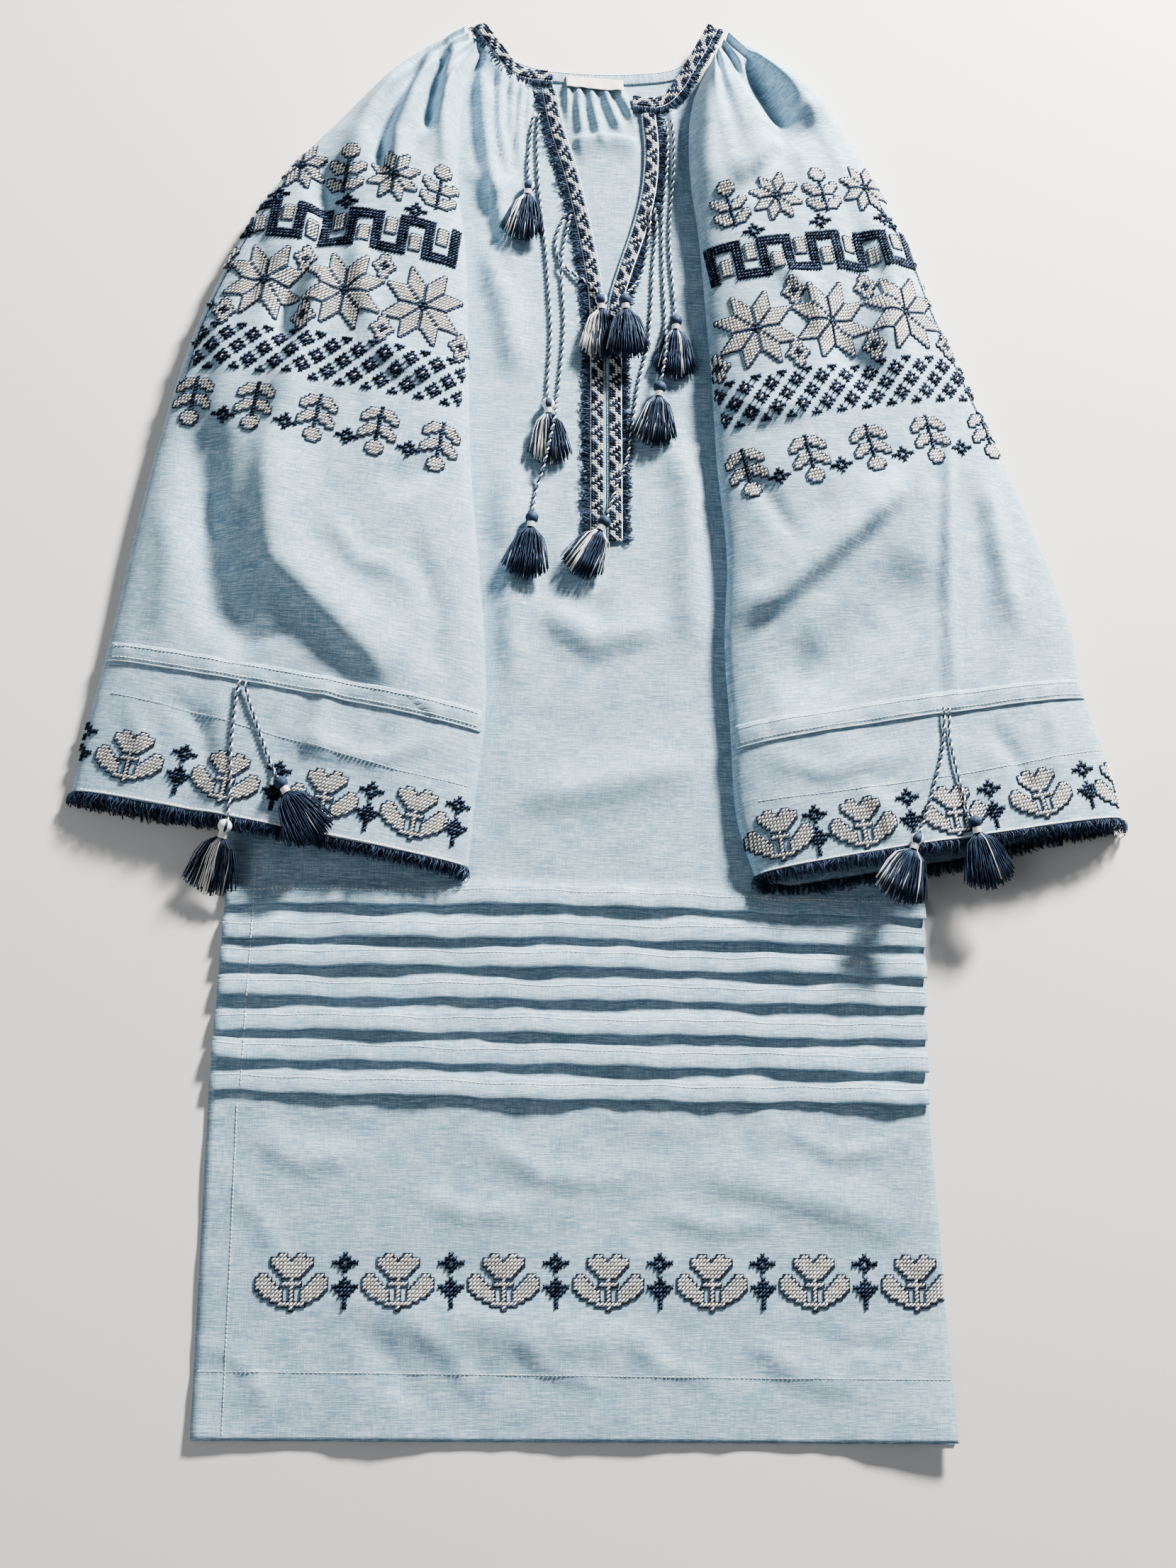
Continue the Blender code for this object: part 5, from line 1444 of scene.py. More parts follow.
def make_casing(side, seed):
    """The drawstring channel over the sleeve's top, puffed between its two stitch lines."""
    name = "casing_" + side
    start, end = CASING_STATIONS
    stations = np.linspace(start - CASING_LAP, end + CASING_LAP, CASING_ROWS)
    grid = sleeve_grid(side, stations, seed, slice(1, TOP_COLUMNS - 1))
    puff = np.sin(math.pi * np.linspace(0.0, 1.0, len(stations))[:, None]) ** CASING_ROUNDED
    pucker = np.array([noise.noise(Vector((k * PUCKER_PITCH, seed, 1.0))) for k in range(grid.shape[1])])
    if side == "right":
        pucker = pucker[::-1]
    grid[:, :, 2] += CASING_LIFT + puff * (CASING_PUFF + CASING_PUCKER * pucker[None, :])
    mesh = cloth_mesh(name + "_cloth", grid)
    remember_surface(name, mesh)
    piece = add_piece(name + "_cloth", mesh, ("dress_linen",), (name,), CASING_WALL)


def square_to(points, k):
    """Level direction square to a line at one of its points."""
    run = (points[min(k + 1, len(points) - 1)] - points[max(k - 1, 0)]).to_2d().normalized()
    return Vector((-run.y, run.x))


def strip_rings(points, width, thick, sides=8):
    """Rings of a flat strip with soft edges, along points at its underside."""
    rings = []
    for k, point in enumerate(points):
        aside = square_to(points, k).to_3d()
        ring = []
        for i in range(sides + 1):
            share = i / sides
            lift = thick * (0.35 + 0.65 * min(1.0, 6.0 * share * (1.0 - share)))
            ring.append(point + aside * (width * (0.5 - share)) + Vector((0.0, 0.0, lift)))
        ring.append(point - aside * (0.5 * width))
        ring.append(point + aside * (0.5 * width))
        ring.append(ring[0].copy())
        rings.append(ring)
    return np.array([[tuple(point) for point in ring] for ring in rings])


def cap_ends(bm):
    bmesh.ops.holes_fill(bm, edges=[edge for edge in bm.edges if edge.is_boundary], sides=0)
    bmesh.ops.recalc_face_normals(bm, faces=bm.faces[:])


def strip_mesh(name, rings):
    mesh = cloth_mesh(name, rings, wrap=True)
    work_mesh(mesh, cap_ends)
    return mesh


def make_strip(name, rows, width, thick, finish, flat):
    """A neckband or a trim: a folded strip of cloth along its path."""
    mesh = strip_mesh(name + "_cloth", strip_rings(smooth_path(rows, STRIP_STEP), width, thick))
    remember_surface(name, mesh)
    piece = add_piece(name + "_cloth", mesh, (finish,), (name,))


def make_piping(name, rows, width=PIPING_WIDTH):
    """A thin pale roll along an edge, from points at its underside."""
    rings = strip_rings(smooth_path(rows, PIPING_STEP), width, PIPING_THICK, 5)
    add_piece(name, strip_mesh(name, rings), ("dress_piping",))


def laid_on(surfaces, points, sunk):
    """Rows of a roll that lies on some surfaces, sunk into them a little."""
    rows = []
    for x, y in points:
        found = drop_on(surfaces, x, y)
        if found is not None:
            rows.append((x, y, found[0].z - sunk))
    return rows


def pipe_edges():
    """Piping between each trim and its fringe, and the rolled edge of each cuff."""
    rim = 0.5 * TRIM_WIDTH - PIPING_INSET
    level = SLEEVE_BASE + PIPING_LIFT
    for side in SIDES:
        path = offset_path(TRIM[side], SIGN[side] * rim)
        make_piping("piping_" + side, [point + (level,) for point in path])
    for side in SIDES:
        moved = offset_path(NECKBAND[side], -SIGN[side] * FRINGE_ON_BAND)
        rows = [spot + (row[2] + NECK_PIPING_LIFT,) for spot, row in zip(moved, NECKBAND[side])]
        make_piping("neck_piping_" + side, rows)
    for side in SIDES:
        sleeve, casing = "sleeve_" + side, "casing_" + side
        line = section_line(side, CASING_STATIONS[1], RIM_SHARES, 70)
        make_piping("casing_edge_" + side, laid_on([casing, sleeve], line, CASING_PIPING_SUNK),
                    CASING_PIPING)
        line = section_line(side, CUFF_EDGE_STATION, RIM_SHARES, 60)
        make_piping("cuff_edge_" + side, laid_on([sleeve], line, CUFF_PIPING_SUNK))


def make_label():
    """The label, left blank: tape stitched at its top and lifting at its lower edge."""
    v, u = np.meshgrid(*(np.linspace(0.0, 1.0, count) for count in LABEL_GRID), indexing="ij")
    droop = (1.0 - v) * sum(high * np.sin(often * u + start) for high, often, start in LABEL_WAVES)
    x = LABEL_CENTRE[0] + (u - 0.5) * LABEL_SIZE[0]
    y = LABEL_CENTRE[1] + (v - 0.5) * LABEL_SIZE[1] + LABEL_CURL_UP * droop + LABEL_SLANT * (0.5 - u)
    z = SLEEVE_BASE + LABEL_CLEAR + (1.0 - v) * LABEL_LIFT + np.abs(droop) * LABEL_CURL_OUT
    mesh = cloth_mesh("label_tape", np.stack([x, y, z], axis=2))
    piece = add_piece("label_tape", mesh, ("dress_label",), ("label",), LABEL_WALL)


def new_tree(name, inputs):
    """An empty geometry tree with named inputs; gives its bench and its input wires."""
    tree = bpy.data.node_groups.new(name, "GeometryNodeTree")
    tree.interface.new_socket("Geometry", in_out="INPUT", socket_type="NodeSocketGeometry")
    for label, kind in inputs:
        tree.interface.new_socket(label, in_out="INPUT", socket_type="NodeSocket" + kind)
    tree.interface.new_socket("Geometry", in_out="OUTPUT", socket_type="NodeSocketGeometry")
    bench = Bench(tree)
    start = tree.nodes.new("NodeGroupInput")
    wires = {label: Wire(bench, start.outputs[label]) for label in ["Geometry"] + [row[0] for row in inputs]}
    return bench, wires


def end_tree(bench, geometry, finish=None):
    done = bench.add("GeometryNodeRealizeInstances", {"Geometry": geometry})
    done = bench.add("GeometryNodeSetShadeSmooth", {"Geometry": done})
    if finish is not None:
        done = bench.add("GeometryNodeSetMaterial", {"Geometry": done, "Material": finish})
    bench.fill(bench.tree.nodes.new("NodeGroupOutput"), {"Geometry": done})


def thread_tube(bench, wires, curve, sides):
    ring = bench.add("GeometryNodeCurvePrimitiveCircle", {"Resolution": sides, "Radius": wires["Thread"]})
    return bench.add("GeometryNodeCurveToMesh", {"Curve": curve, "Profile Curve": ring})


def arch(bench, wires, steps, sides):
    """One stitch: a short length of thread that rises from the cloth and sinks in at its ends, where painted
    shade darkens it.
    """
    half = wires["Length"] * 0.5
    curve = bench.add("GeometryNodeCurveQuadraticBezier", {
        "Resolution": steps,
        "Start": bench.vector(x=half * -1.0),
        "Middle": bench.vector(z=wires["Rise"] * 2.0),
        "End": bench.vector(x=half),
    })
    away = bench.add("GeometryNodeSplineParameter", output="Factor") * 2.0 - 1.0
    # Painted shade, strongest at the stitch's two ends
    return thread_tube(bench, wires, bench.store(curve, "dip", away ** 4.0), sides)


def flat_stitch(bench, wires, dip):
    """One straight length of thread, all of it as darkened by painted shade as it is told."""
    half = wires["Length"] * 0.5
    line = bench.add("GeometryNodeCurvePrimitiveLine",
                     {"Start": bench.vector(x=half * -1.0), "End": bench.vector(x=half)})
    return thread_tube(bench, wires, bench.store(line, "dip", dip), 3)


def cross_shape(bench, wires):
    """A cross: a low stitch one way, painted darker as painted shade under the other, and a fuller one over
    it the other way.
    """
    quarter = math.pi / 4.0
    fuller = dict(wires, Length=wires["Length"] * 0.90, Thread=wires["Thread"] * 1.25)
    # The under stitch carries painted shade
    under = bench.add("GeometryNodeTransform", {
        "Geometry": flat_stitch(bench, wires, 0.85),
        "Rotation": (0.0, 0.0, -quarter),
    })
    over = bench.add("GeometryNodeTransform", {
        "Geometry": arch(bench, fuller, 2, 4),
        "Translation": bench.vector(z=wires["Thread"] * 0.6),
        "Rotation": (0.0, 0.0, quarter),
    })
    return bench.add("GeometryNodeJoinGeometry", {"Geometry": [under, over]})


def strand_shape(bench, wires):
    """A fringe thread: out from its root, up a little and then down."""
    length, rise = wires["Length"], wires["Rise"]
    curve = bench.add("GeometryNodeCurvePrimitiveBezierSegment", {
        "Resolution": 4,
        "Start": bench.vector(),
        "Start Handle": bench.vector(length * 0.4, rise * 0.8, rise),
        "End Handle": bench.vector(length * -0.3, rise * -1.2, rise * 1.4),
        "End": bench.vector(x=length, z=rise * -0.9),
    }, mode="OFFSET")
    return thread_tube(bench, wires, curve, 3)


STITCHES = {
    "sewing_stitch": lambda bench, wires: flat_stitch(bench, wires, 0.0),
    "back_stitch": lambda bench, wires: arch(bench, wires, 2, 3),
    "cross_stitch": cross_shape,
    "fringe_thread": strand_shape,
}


def scatter_tree(name):
    """Sets one shape on every point, turned as the point says and never quite alike."""
    bench, wires = new_tree(name, (
        ("Length", "Float"), ("Thread", "Float"), ("Rise", "Float"), ("Unevenness", "Float"),
        ("Seed", "Int"), ("Material", "Material"),
    ))
    turn = bench.add("GeometryNodeInputNamedAttribute", {"Name": "turn"}, data_type="FLOAT_VECTOR")
    size = bench.add("GeometryNodeInputNamedAttribute", {"Name": "size"}, data_type="FLOAT")
    loose, seed = wires["Unevenness"], wires["Seed"]
    swing = bench.add("FunctionNodeRandomValue", {
        0: bench.vector(*[loose * -1.0] * 3),
        1: bench.vector(loose, loose, loose),
        "Seed": seed,
    }, data_type="FLOAT_VECTOR")
    turned = bench.add("FunctionNodeRotateRotation", {
        "Rotation": bench.add("FunctionNodeEulerToRotation", {"Euler": turn}),
        "Rotate By": bench.add("FunctionNodeEulerToRotation", {"Euler": swing}),
    }, rotation_space="LOCAL")
    whole = size * bench.chance(0.92, 1.08, seed + 3.0)
    placed = bench.add("GeometryNodeInstanceOnPoints", {
        "Points": wires["Geometry"],
        "Instance": STITCHES[name](bench, wires),
        "Rotation": turned,
        "Scale": bench.vector(whole, whole, whole),
    })
    toned = bench.store(placed, "tone", bench.chance(-0.5, 0.5, seed + 7.0), "INSTANCE")
    end_tree(bench, toned, wires["Material"])
    return bench.tree


def cord_tree(name):
    """Two plies twisted round each other along a line."""
    bench, wires = new_tree(name, (
        ("Ply", "Float"), ("Lay", "Float"), ("Step", "Float"), ("First", "Material"), ("Second", "Material"),
    ))
    fine = bench.add("GeometryNodeResampleCurve", {"Curve": wires["Geometry"], "Length": wires["Step"]},
                     mode="LENGTH")
    run = bench.add("GeometryNodeSplineParameter", output="Length")
    turns = bench.maths("DIVIDE", run * math.tau, wires["Lay"])
    twisted = bench.add("GeometryNodeSetCurveTilt", {"Curve": fine, "Tilt": turns})
    ring = bench.add("GeometryNodeCurvePrimitiveCircle", {"Resolution": 5, "Radius": wires["Ply"]})
    plies = []
    for side, finish in ((1.0, wires["First"]), (-1.0, wires["Second"])):
        moved = bench.add("GeometryNodeTransform", {
            "Geometry": ring, "Translation": bench.vector(x=wires["Ply"] * (0.80 * side))})
        tube = bench.add("GeometryNodeCurveToMesh",
                         {"Curve": twisted, "Profile Curve": moved, "Fill Caps": True})
        plies.append(bench.add("GeometryNodeSetMaterial", {"Geometry": tube, "Material": finish}))
    end_tree(bench, bench.add("GeometryNodeJoinGeometry", {"Geometry": plies}))
    return bench.tree


def tree_named(name, maker):
    return bpy.data.node_groups.get(name) or maker(name)


def run_tree(source, tree, values):
    """Runs a tree on a piece of data and gives the plain mesh that it makes."""
    carrier = bpy.data.objects.new("carrier", source)
    bpy.context.collection.objects.link(carrier)
    modifier = carrier.modifiers.new("Tree", "NODES")
    modifier.node_group = tree
    for item in tree.interface.items_tree:
        if item.in_out == "INPUT" and item.name in values:
            modifier[item.identifier] = values[item.name]
    depsgraph = bpy.context.evaluated_depsgraph_get()
    mesh = bpy.data.meshes.new_from_object(carrier.evaluated_get(depsgraph))
    bpy.data.objects.remove(carrier, do_unlink=True)
    return mesh


def lying(along, normal):
    """Euler turn of what lies along one direction and looks in another, square to it."""
    return Matrix((along, normal.cross(along), normal)).transposed().to_euler()


def turn_to(normal, angle):
    """Euler turn that lays a stitch on a surface, its length at an angle from across."""
    along = Vector((math.cos(angle), math.sin(angle), 0.0))
    return lying((along - normal * along.dot(normal)).normalized(), normal)


def sow(name, spots, stitch, sizes, finish, seed):
    """Makes one piece out of many stitches or threads: spots hold place, turn and size."""
    if not spots:
        return None
    points = bpy.data.meshes.new(name + "_points")
    points.from_pydata([tuple(spot[0]) for spot in spots], [], [])
    turns = points.attributes.new("turn", "FLOAT_VECTOR", "POINT")
    turns.data.foreach_set("vector", [part for spot in spots for part in spot[1]])
    grown = points.attributes.new("size", "FLOAT", "POINT")
    grown.data.foreach_set("value", [spot[2] for spot in spots])
    length, thread, rise, uneven = sizes
    mesh = run_tree(points, tree_named(stitch, scatter_tree), {
        "Length": length, "Thread": thread, "Rise": rise, "Unevenness": uneven, "Seed": seed,
        "Material": material(finish),
    })
    mesh.name = name
    keep_above_floor(mesh, FLOOR_GAP)
    return add_piece(name, mesh, (finish,))


def chart_of(columns, rows, mark):
    """A chart whose every cell is marked by its place."""
    return ["".join(mark(i, j) for i in columns) for j in rows]


def star_cells(inner, outer):
    """An eight-pointed star: each of its petals lies between an axis and a diagonal."""
    def mark(i, j):
        small, big = sorted((abs(i), abs(j)))
        if 1 <= small <= inner and 1 <= big - small <= outer:
            return "#"
        return "o" if big <= 1 and small == 0 else "."

    span = range(-inner - outer, inner + outer + 1)
    return chart_of(span, span, mark)


def lozenge_cells(across, up):
    """A stepped lozenge with a navy heart."""
    def mark(i, j):
        if abs(i) + abs(j) <= 1:
            return "o"
        return "#" if abs(i) / (across + 0.5) + abs(j) / (up + 0.5) <= 1.0 else "."

    return chart_of(range(-across, across + 1), range(-up, up + 1), mark)


def meander_cells(repeats):
    """A broad meander, three cells to a line, with a cream oval in each of its pockets."""
    def mark(i, j):
        place = i % 16
        bar = (j < 3 and place <= 10) or (j > 9 and (place >= 8 or place <= 2))
        post = place <= 2 or 8 <= place <= 10
        if bar or post:
            return "o"
        low = abs(place - 5) <= 1 and abs(j - 8) <= 2
        high = abs(place - 13) <= 1 and abs(j - 4) <= 2
        return "#" if low or high else "."

    return chart_of(range(16 * repeats + 3), range(13), mark)


def lattice_cells(width, height):
    """Staggered navy lozenges, each with a cream heart, and a net of bare cloth between them."""
    def mark(i, j):
        even = abs((i + 4) % 8 - 4) + abs((j - 3 + 4) % 8 - 4)
        odd = abs(i % 8 - 4) + abs((j - 3) % 8 - 4)
        away = min(even, odd)
        return "#" if away == 0 else ("o" if away <= 2 else ".")

    return chart_of(range(width), range(height), mark)


def motif_cells(name):
    makers = {
        "star": lambda: star_cells(5, 6),
        "star_small": lambda: star_cells(3, 4),
        "lozenge": lambda: lozenge_cells(3, 4),
        "sprig": lambda: SPRIG,
        "sprig_down": lambda: SPRIG[::-1],
        "spark": lambda: SPARK,
        "meander": lambda: meander_cells(4),
        "lattice": lambda: lattice_cells(81, 15),
    }
    return makers[name]()


def settle(spots, surface, x, y, angle, lift, least=0.0):
    """Lays one stitch on a surface, unless that is too steep there; tells whether it did."""
    found = drop_on([surface], x, y)
    if found is None or found[1].z < least:
        return False
    spot, normal = found
    spots.append((spot + normal * lift, turn_to(normal, angle), 1.0))
    return True


def stitch_sizes(look, length):
    """Length, thread width, rise and unevenness of a stitch, from its shares."""
    thick = bpy.context.scene.dress_thread.thickness
    return (look[0] * length, look[1] * thick) + look[2:]


class Needle:
    """Gathers the stitches of one stretch of embroidery, and sews them in two colours."""

    def __init__(self, surface, cell=(CELL_ACROSS, CELL_UP)):
        self.surface = surface
        self.cell = cell
        self.crosses = {"#": [], "o": []}
        self.outline = []
        self.taken = set()

    def settle(self, spots, x, y, angle, lift=CROSS_LIFT):
        return settle(spots, self.surface, x, y, angle, lift, STEEPEST)

    def chart(self, rows, centre_x, centre_y, degrees, keep=lambda x, y: True):
        """Works a chart about a centre, leaving out places already sewn."""
        angle = math.radians(degrees)
        cos, sin = math.cos(angle), math.sin(angle)
        width, height = len(rows[0]), len(rows)

        def place(i, j):
            u = (i - 0.5 * width) * self.cell[0]
            v = (0.5 * height - j) * self.cell[1]
            return centre_x + u * cos - v * sin, centre_y + u * sin + v * cos

        for j, row in enumerate(rows):
            for i, mark in enumerate(row):
                x, y = place(i + 0.5, j + 0.5)
                cell = (round(x / SEWN_CELL), round(y / SEWN_CELL))
                if mark == "." or not keep(x, y) or cell in self.taken:
                    continue
                if self.settle(self.crosses[mark], x, y, angle):
                    self.taken.add(cell)
                if mark == "#":
                    self.edge_cell(rows, i, j, place, angle, keep)

    def edge_cell(self, rows, i, j, place, angle, keep):
        """Backstitches along each side of a cream cell that has no cream neighbour."""
        for di, dj in ((1, 0), (-1, 0), (0, 1), (0, -1)):
            a, b = i + di, j + dj
            if 0 <= a < len(rows[0]) and 0 <= b < len(rows) and rows[b][a] == "#":
                continue
            x, y = place(i + 0.5 + BESIDE_CELL * di, j + 0.5 + BESIDE_CELL * dj)
            if keep(x, y):
                self.settle(self.outline, x, y, angle + (math.pi / 2.0 if di else 0.0), LINE_LIFT)

    def knotted_line(self, path):
        """A backstitched line with a small knot at even distances."""
        pitch = LINE_STITCH * self.cell[1]
        points = smooth_path(path, pitch)
        every = round(KNOT_ROOM / pitch)
        for k, (a, b) in enumerate(zip(points, points[1:])):
            angle = math.atan2((b - a).y, (b - a).x)
            self.settle(self.outline, a.x, a.y, angle, LINE_LIFT)
            if k % every == every // 2:
                self.chart(KNOT, a.x, a.y, math.degrees(angle))

    def sew(self, name, seed):
        """Three pieces: the cream crosses, the navy ones, which are fuller, and the outline."""
        across = CROSS_SPAN * math.hypot(*self.cell)
        cream = stitch_sizes(CREAM_CROSS, across)
        navy = stitch_sizes(NAVY_CROSS, across)
        line = stitch_sizes(OUTLINE_STITCH, self.cell[1])
        sow(name + "_cream", self.crosses["#"], "cross_stitch", cream, "dress_cream", seed)
        sow(name + "_navy", self.crosses["o"], "cross_stitch", navy, "dress_navy", seed + 1)
        sow(name + "_outline", self.outline, "back_stitch", line, "dress_navy", seed + 2)


def embroider_skirt():
    needle = Needle("front")

    def on_front(x, y):
        return x < float(body_edge("right", y)) - HEM_CLEAR

    for k in range(SKIRT_COUNT):
        x = SKIRT_FIRST + k * SKIRT_PITCH
        y = SKIRT_UP + SKIRT_CLIMB * (x - SKIRT_FIRST)
        needle.chart(FLOWER, x, y, SKIRT_TURN, on_front)
        if k < SKIRT_COUNT - 1:
            needle.chart(DIAMONDS, x + 0.5 * SKIRT_PITCH, y + DIAMOND_UP, SKIRT_TURN, on_front)
    needle.sew("skirt_border", 21)


def embroider_cuff(side, seed):
    needle = Needle("sleeve_" + side)
    for motif, places in CUFF_MOTIFS[side]:
        for x, y, degrees in places:
            needle.chart(motif, x, y, degrees)
    needle.sew("cuff_border_" + side, seed)


def embroider_sleeve(side, seed):
    """A generic composition of stars, lozenges, sprigs, a lattice and a meander on the upper sleeve."""
    needle = Needle("sleeve_" + side)
    for (motifs, count), (first, last) in zip(DESIGN_ROWS, DESIGN[side]):
        slope = math.degrees(math.atan((last[1] - first[1]) / (last[0] - first[0])))
        for k in range(count):
            place = Vector(first).lerp(Vector(last), 0.5 if count == 1 else k / (count - 1))
            needle.chart(motif_cells(motifs[k % len(motifs)]), place.x, place.y, slope)
    needle.knotted_line(EDGE_LINE[side])
    needle.sew("sleeve_design_" + side, seed)


def embroider_band(name, rows, surface, shift, seed):
    """Covers a band with a small repeat, worked along its path."""
    needle = Needle(surface, (BAND_CELL, BAND_CELL))
    points = smooth_path(rows, BAND_CELL)
    count = len(TRIM_CHART[0])
    for k in range(len(points) - 1):
        middle = points[k].lerp(points[k + 1], 0.5)
        run = (points[k + 1] - points[k]).to_2d().normalized()
        aside = Vector((-run.y, run.x))
        angle = math.atan2(run.y, run.x)
        for i, mark in enumerate(TRIM_CHART[k % len(TRIM_CHART)]):
            spot = middle.to_2d() + aside * (BAND_CELL * (i - 0.5 * (count - 1)) + shift)
            needle.settle(needle.crosses[mark], spot.x, spot.y, angle)
    needle.sew(name, seed)


def section_line(side, station, shares, count=9):
    """Points across a sleeve at one station, between two shares of its width."""
    row = row_at(SECTIONS[side], station)
    start, end = Vector(row[0:2]), Vector(row[2:4])
    low, high = shares
    return [tuple(start.lerp(end, low + (high - low) * k / (count - 1))) for k in range(count)]


def offset_path(path, aside):
    points = [Vector(row[0:2]) for row in path]
    return [tuple(point + square_to(points, k) * aside) for k, point in enumerate(points)]


def embroider_trim(side, seed):
    embroider_band("trim_stitches_" + side, TRIM[side], "trim_" + side, SIGN[side] * TRIM_SHIFT, seed)


def embroider_neckband(side, seed):
    shift = SIGN[side] * NECK_SHIFT
    embroider_band("neck_stitches_" + side, NECKBAND[side], "neckband_" + side, shift, seed)


def sewn_lines():
    """Every line of plain sewing that shows, each with what it is sewn on."""
    lines = [(path, "front") for path in (HEM_STITCHES, SIDE_SEAM_LOW, SIDE_SEAM_HIGH)]
    for k in range(len(TUCK_EDGES)):
        across = np.linspace(*TUCK_SEWN)
        lines.append(([(x, float(tuck_edge(k, x)) + TUCK_STITCH) for x in across], "front"))
    for side in SIDES:
        for station in (CASING_STATIONS[0] + CASING_SEWN, CASING_STATIONS[1] - CASING_SEWN):
            lines.append((section_line(side, station, SEWN_SHARES), "casing_" + side))
        lines.append((section_line(side, CUFF_STITCH_STATION, SEWN_SHARES), "sleeve_" + side))
        lines.append((CUFF_SEAM[side], "sleeve_" + side))
    edge = 0.5 * TRIM_WIDTH - TRIM_SEWN
    lines += [(offset_path(TRIM[side], -SIGN[side] * edge), "trim_" + side) for side in SIDES]
    rim = 0.5 * BACK_BAND_WIDTH - BAND_SEWN
    return lines + [(offset_path(NECKBAND_BACK, aside), "neckband_back") for aside in (-rim, rim)]


def sew_topstitches():
    spots = []
    for path, surface in sewn_lines():
        points = smooth_path(path, bpy.context.scene.dress_thread.topstitch)
        for a, b in zip(points, points[1:]):
            middle, run = a.lerp(b, 0.5), b - a
            settle(spots, surface, middle.x, middle.y, math.atan2(run.y, run.x), SEWING_LIFT)
    sow("topstitches", spots, "sewing_stitch", SEWING_STITCH, "dress_sewing", 61)


def sow_fringe(name, roots, sizes, seed):
    """Fringe threads at roots of place, way out and way up, in layers that lean apart."""
    rng = random.Random(seed)
    spots = []
    for layer in range(FRINGE_LAYERS):
        for place, out, up in roots:
            lean = rng.uniform(-FRINGE_LEAN, FRINGE_LEAN)
            side = up.cross(out)
            way = (out + side * lean + up * rng.uniform(*FRINGE_TURN)).normalized()
            square = (up - way * up.dot(way)).normalized()
            start = place + side * rng.uniform(-FRINGE_STRAY, FRINGE_STRAY) + up * (LAYER_LIFT * layer)
            spots.append((start, lying(way, square), rng.uniform(*FRINGE_LENGTHS)))
    return sow(name, spots, "fringe_thread", sizes, "dress_navy_soft", seed)


def path_roots(path, side, away, lift, droop):
    """Roots of a fringe beside a path, on one side of it."""
    points = smooth_path(path, bpy.context.scene.dress_thread.fringe_gap)
    roots = []
    for a, b in zip(points, points[1:]):
        run = (b - a).to_2d().normalized()
        out = Vector((run.y, -run.x, 0.0)) * side
        place = a.lerp(b, 0.5) + out * away + UP * lift
        roots.append((place, (out - UP * droop).normalized() if droop else out, UP))
    return roots


def make_trim_fringe(side, seed):
    name = "trim_fringe_" + side
    path = [row + (SLEEVE_BASE + TRIM_FRINGE_LIFT,) for row in TRIM[side]]
    roots = path_roots(path, -SIGN[side], 0.5 * TRIM_WIDTH + TRIM_FRINGE_OUT, 0.0, 0.0)
    piece = sow_fringe(name + "_threads", roots, TRIM_FRINGE, seed)
    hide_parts(name)


def make_band_fringe(side, seed):
    """The short fringe that edges a neckband's lower side."""
    roots = path_roots(NECKBAND[side], SIGN[side], FRINGE_ON_BAND, NECK_FRINGE_LIFT, NECK_FRINGE_DROOP)
    sow_fringe("neck_fringe_" + side, roots, NECK_FRINGE, seed)


def cuff_ring(side, seed):
    """Points round a cuff's edge, as far apart as its fringe's threads."""
    ring = sleeve_ring(side, len(SECTIONS[side]) - 1, seed)
    points = [Vector(point) for point in ring]
    lengths = walked(points)
    wanted = np.arange(0.0, lengths[-1], bpy.context.scene.dress_thread.fringe_gap)
    return points_at(wanted, lengths, ring), sum(points, Vector()) / len(points)


def make_cuff_fringe(side, seed):
    """Fringe right round a cuff, hanging over its edge."""
    name = "cuff_fringe_" + side
    spread, centre = cuff_ring(side, seed)
    inner_x, inner_y, outer_x, outer_y, _ = SECTIONS[side][-1]
    run = Vector((outer_x - inner_x, outer_y - inner_y)).normalized()
    axis = Vector((run.y, -run.x, 0.0)) * SIGN[side]
    roots = []
    for k, point in enumerate(spread):
        tangent = (spread[(k + 1) % len(spread)] - spread[k - 1]).normalized()
        up = axis.cross(tangent).normalized()
        if up.dot(point - centre) < 0.0:
            up = -up
        droop = CUFF_FRINGE_DROOP if point.z > DROOPS_ABOVE else 0.0
        place = point - up * (0.3 * WALL) - axis * CUFF_ROOT_IN
        place.z = max(place.z, CUFF_ROOT_LOW)
        roots.append((place, (axis - UP * droop).normalized(), up if up.z > -0.5 else UP))
    piece = sow_fringe(name + "_threads", roots, CUFF_FRINGE, seed)
    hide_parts(name)


def node_surface(name):
    """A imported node's surface, measured from the hem's middle."""
    return surface_of(bpy.data.objects[name].data, HEM_MIDDLE)


def eased(values, weights):
    """Values smoothed along a line, with both its ends held."""
    return np.convolve(np.pad(values, len(weights) // 2, mode="edge"), weights, mode="valid")


def cord_points(name, route):
    """Points of a cord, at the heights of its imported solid."""
    _, tree = node_surface("cord_" + name)
    flat = smooth_path(route, STRIP_STEP)
    heights = []
    for point in flat:
        hit = tree.ray_cast(Vector((point.x, point.y, SKY)), -UP)[0]
        heights.append(math.nan if hit is None else hit.z - CORD_WIDTH / 2.0)
    known = [k for k, height in enumerate(heights) if not math.isnan(height)]
    heights = np.interp(range(len(flat)), known, [heights[k] for k in known])
    lifts = np.array([risen(point.x, point.y, 0.5 * CORD_WIDTH) for point in flat])
    lifts = eased(lifts, np.ones(7) / 7.0) * 0.5 + lifts * 0.5
    levels = eased(heights + lifts, (0.25, 0.5, 0.25))
    return [Vector((point.x, point.y, level)) for point, level in zip(flat, levels)]


def line_curve(name, points):
    curve = bpy.data.curves.new(name, "CURVE")
    curve.dimensions = "3D"
    spline = curve.splines.new("POLY")
    spline.points.add(len(points) - 1)
    for spot, point in zip(spline.points, points):
        spot.co = (point.x, point.y, point.z, 1.0)
    return curve


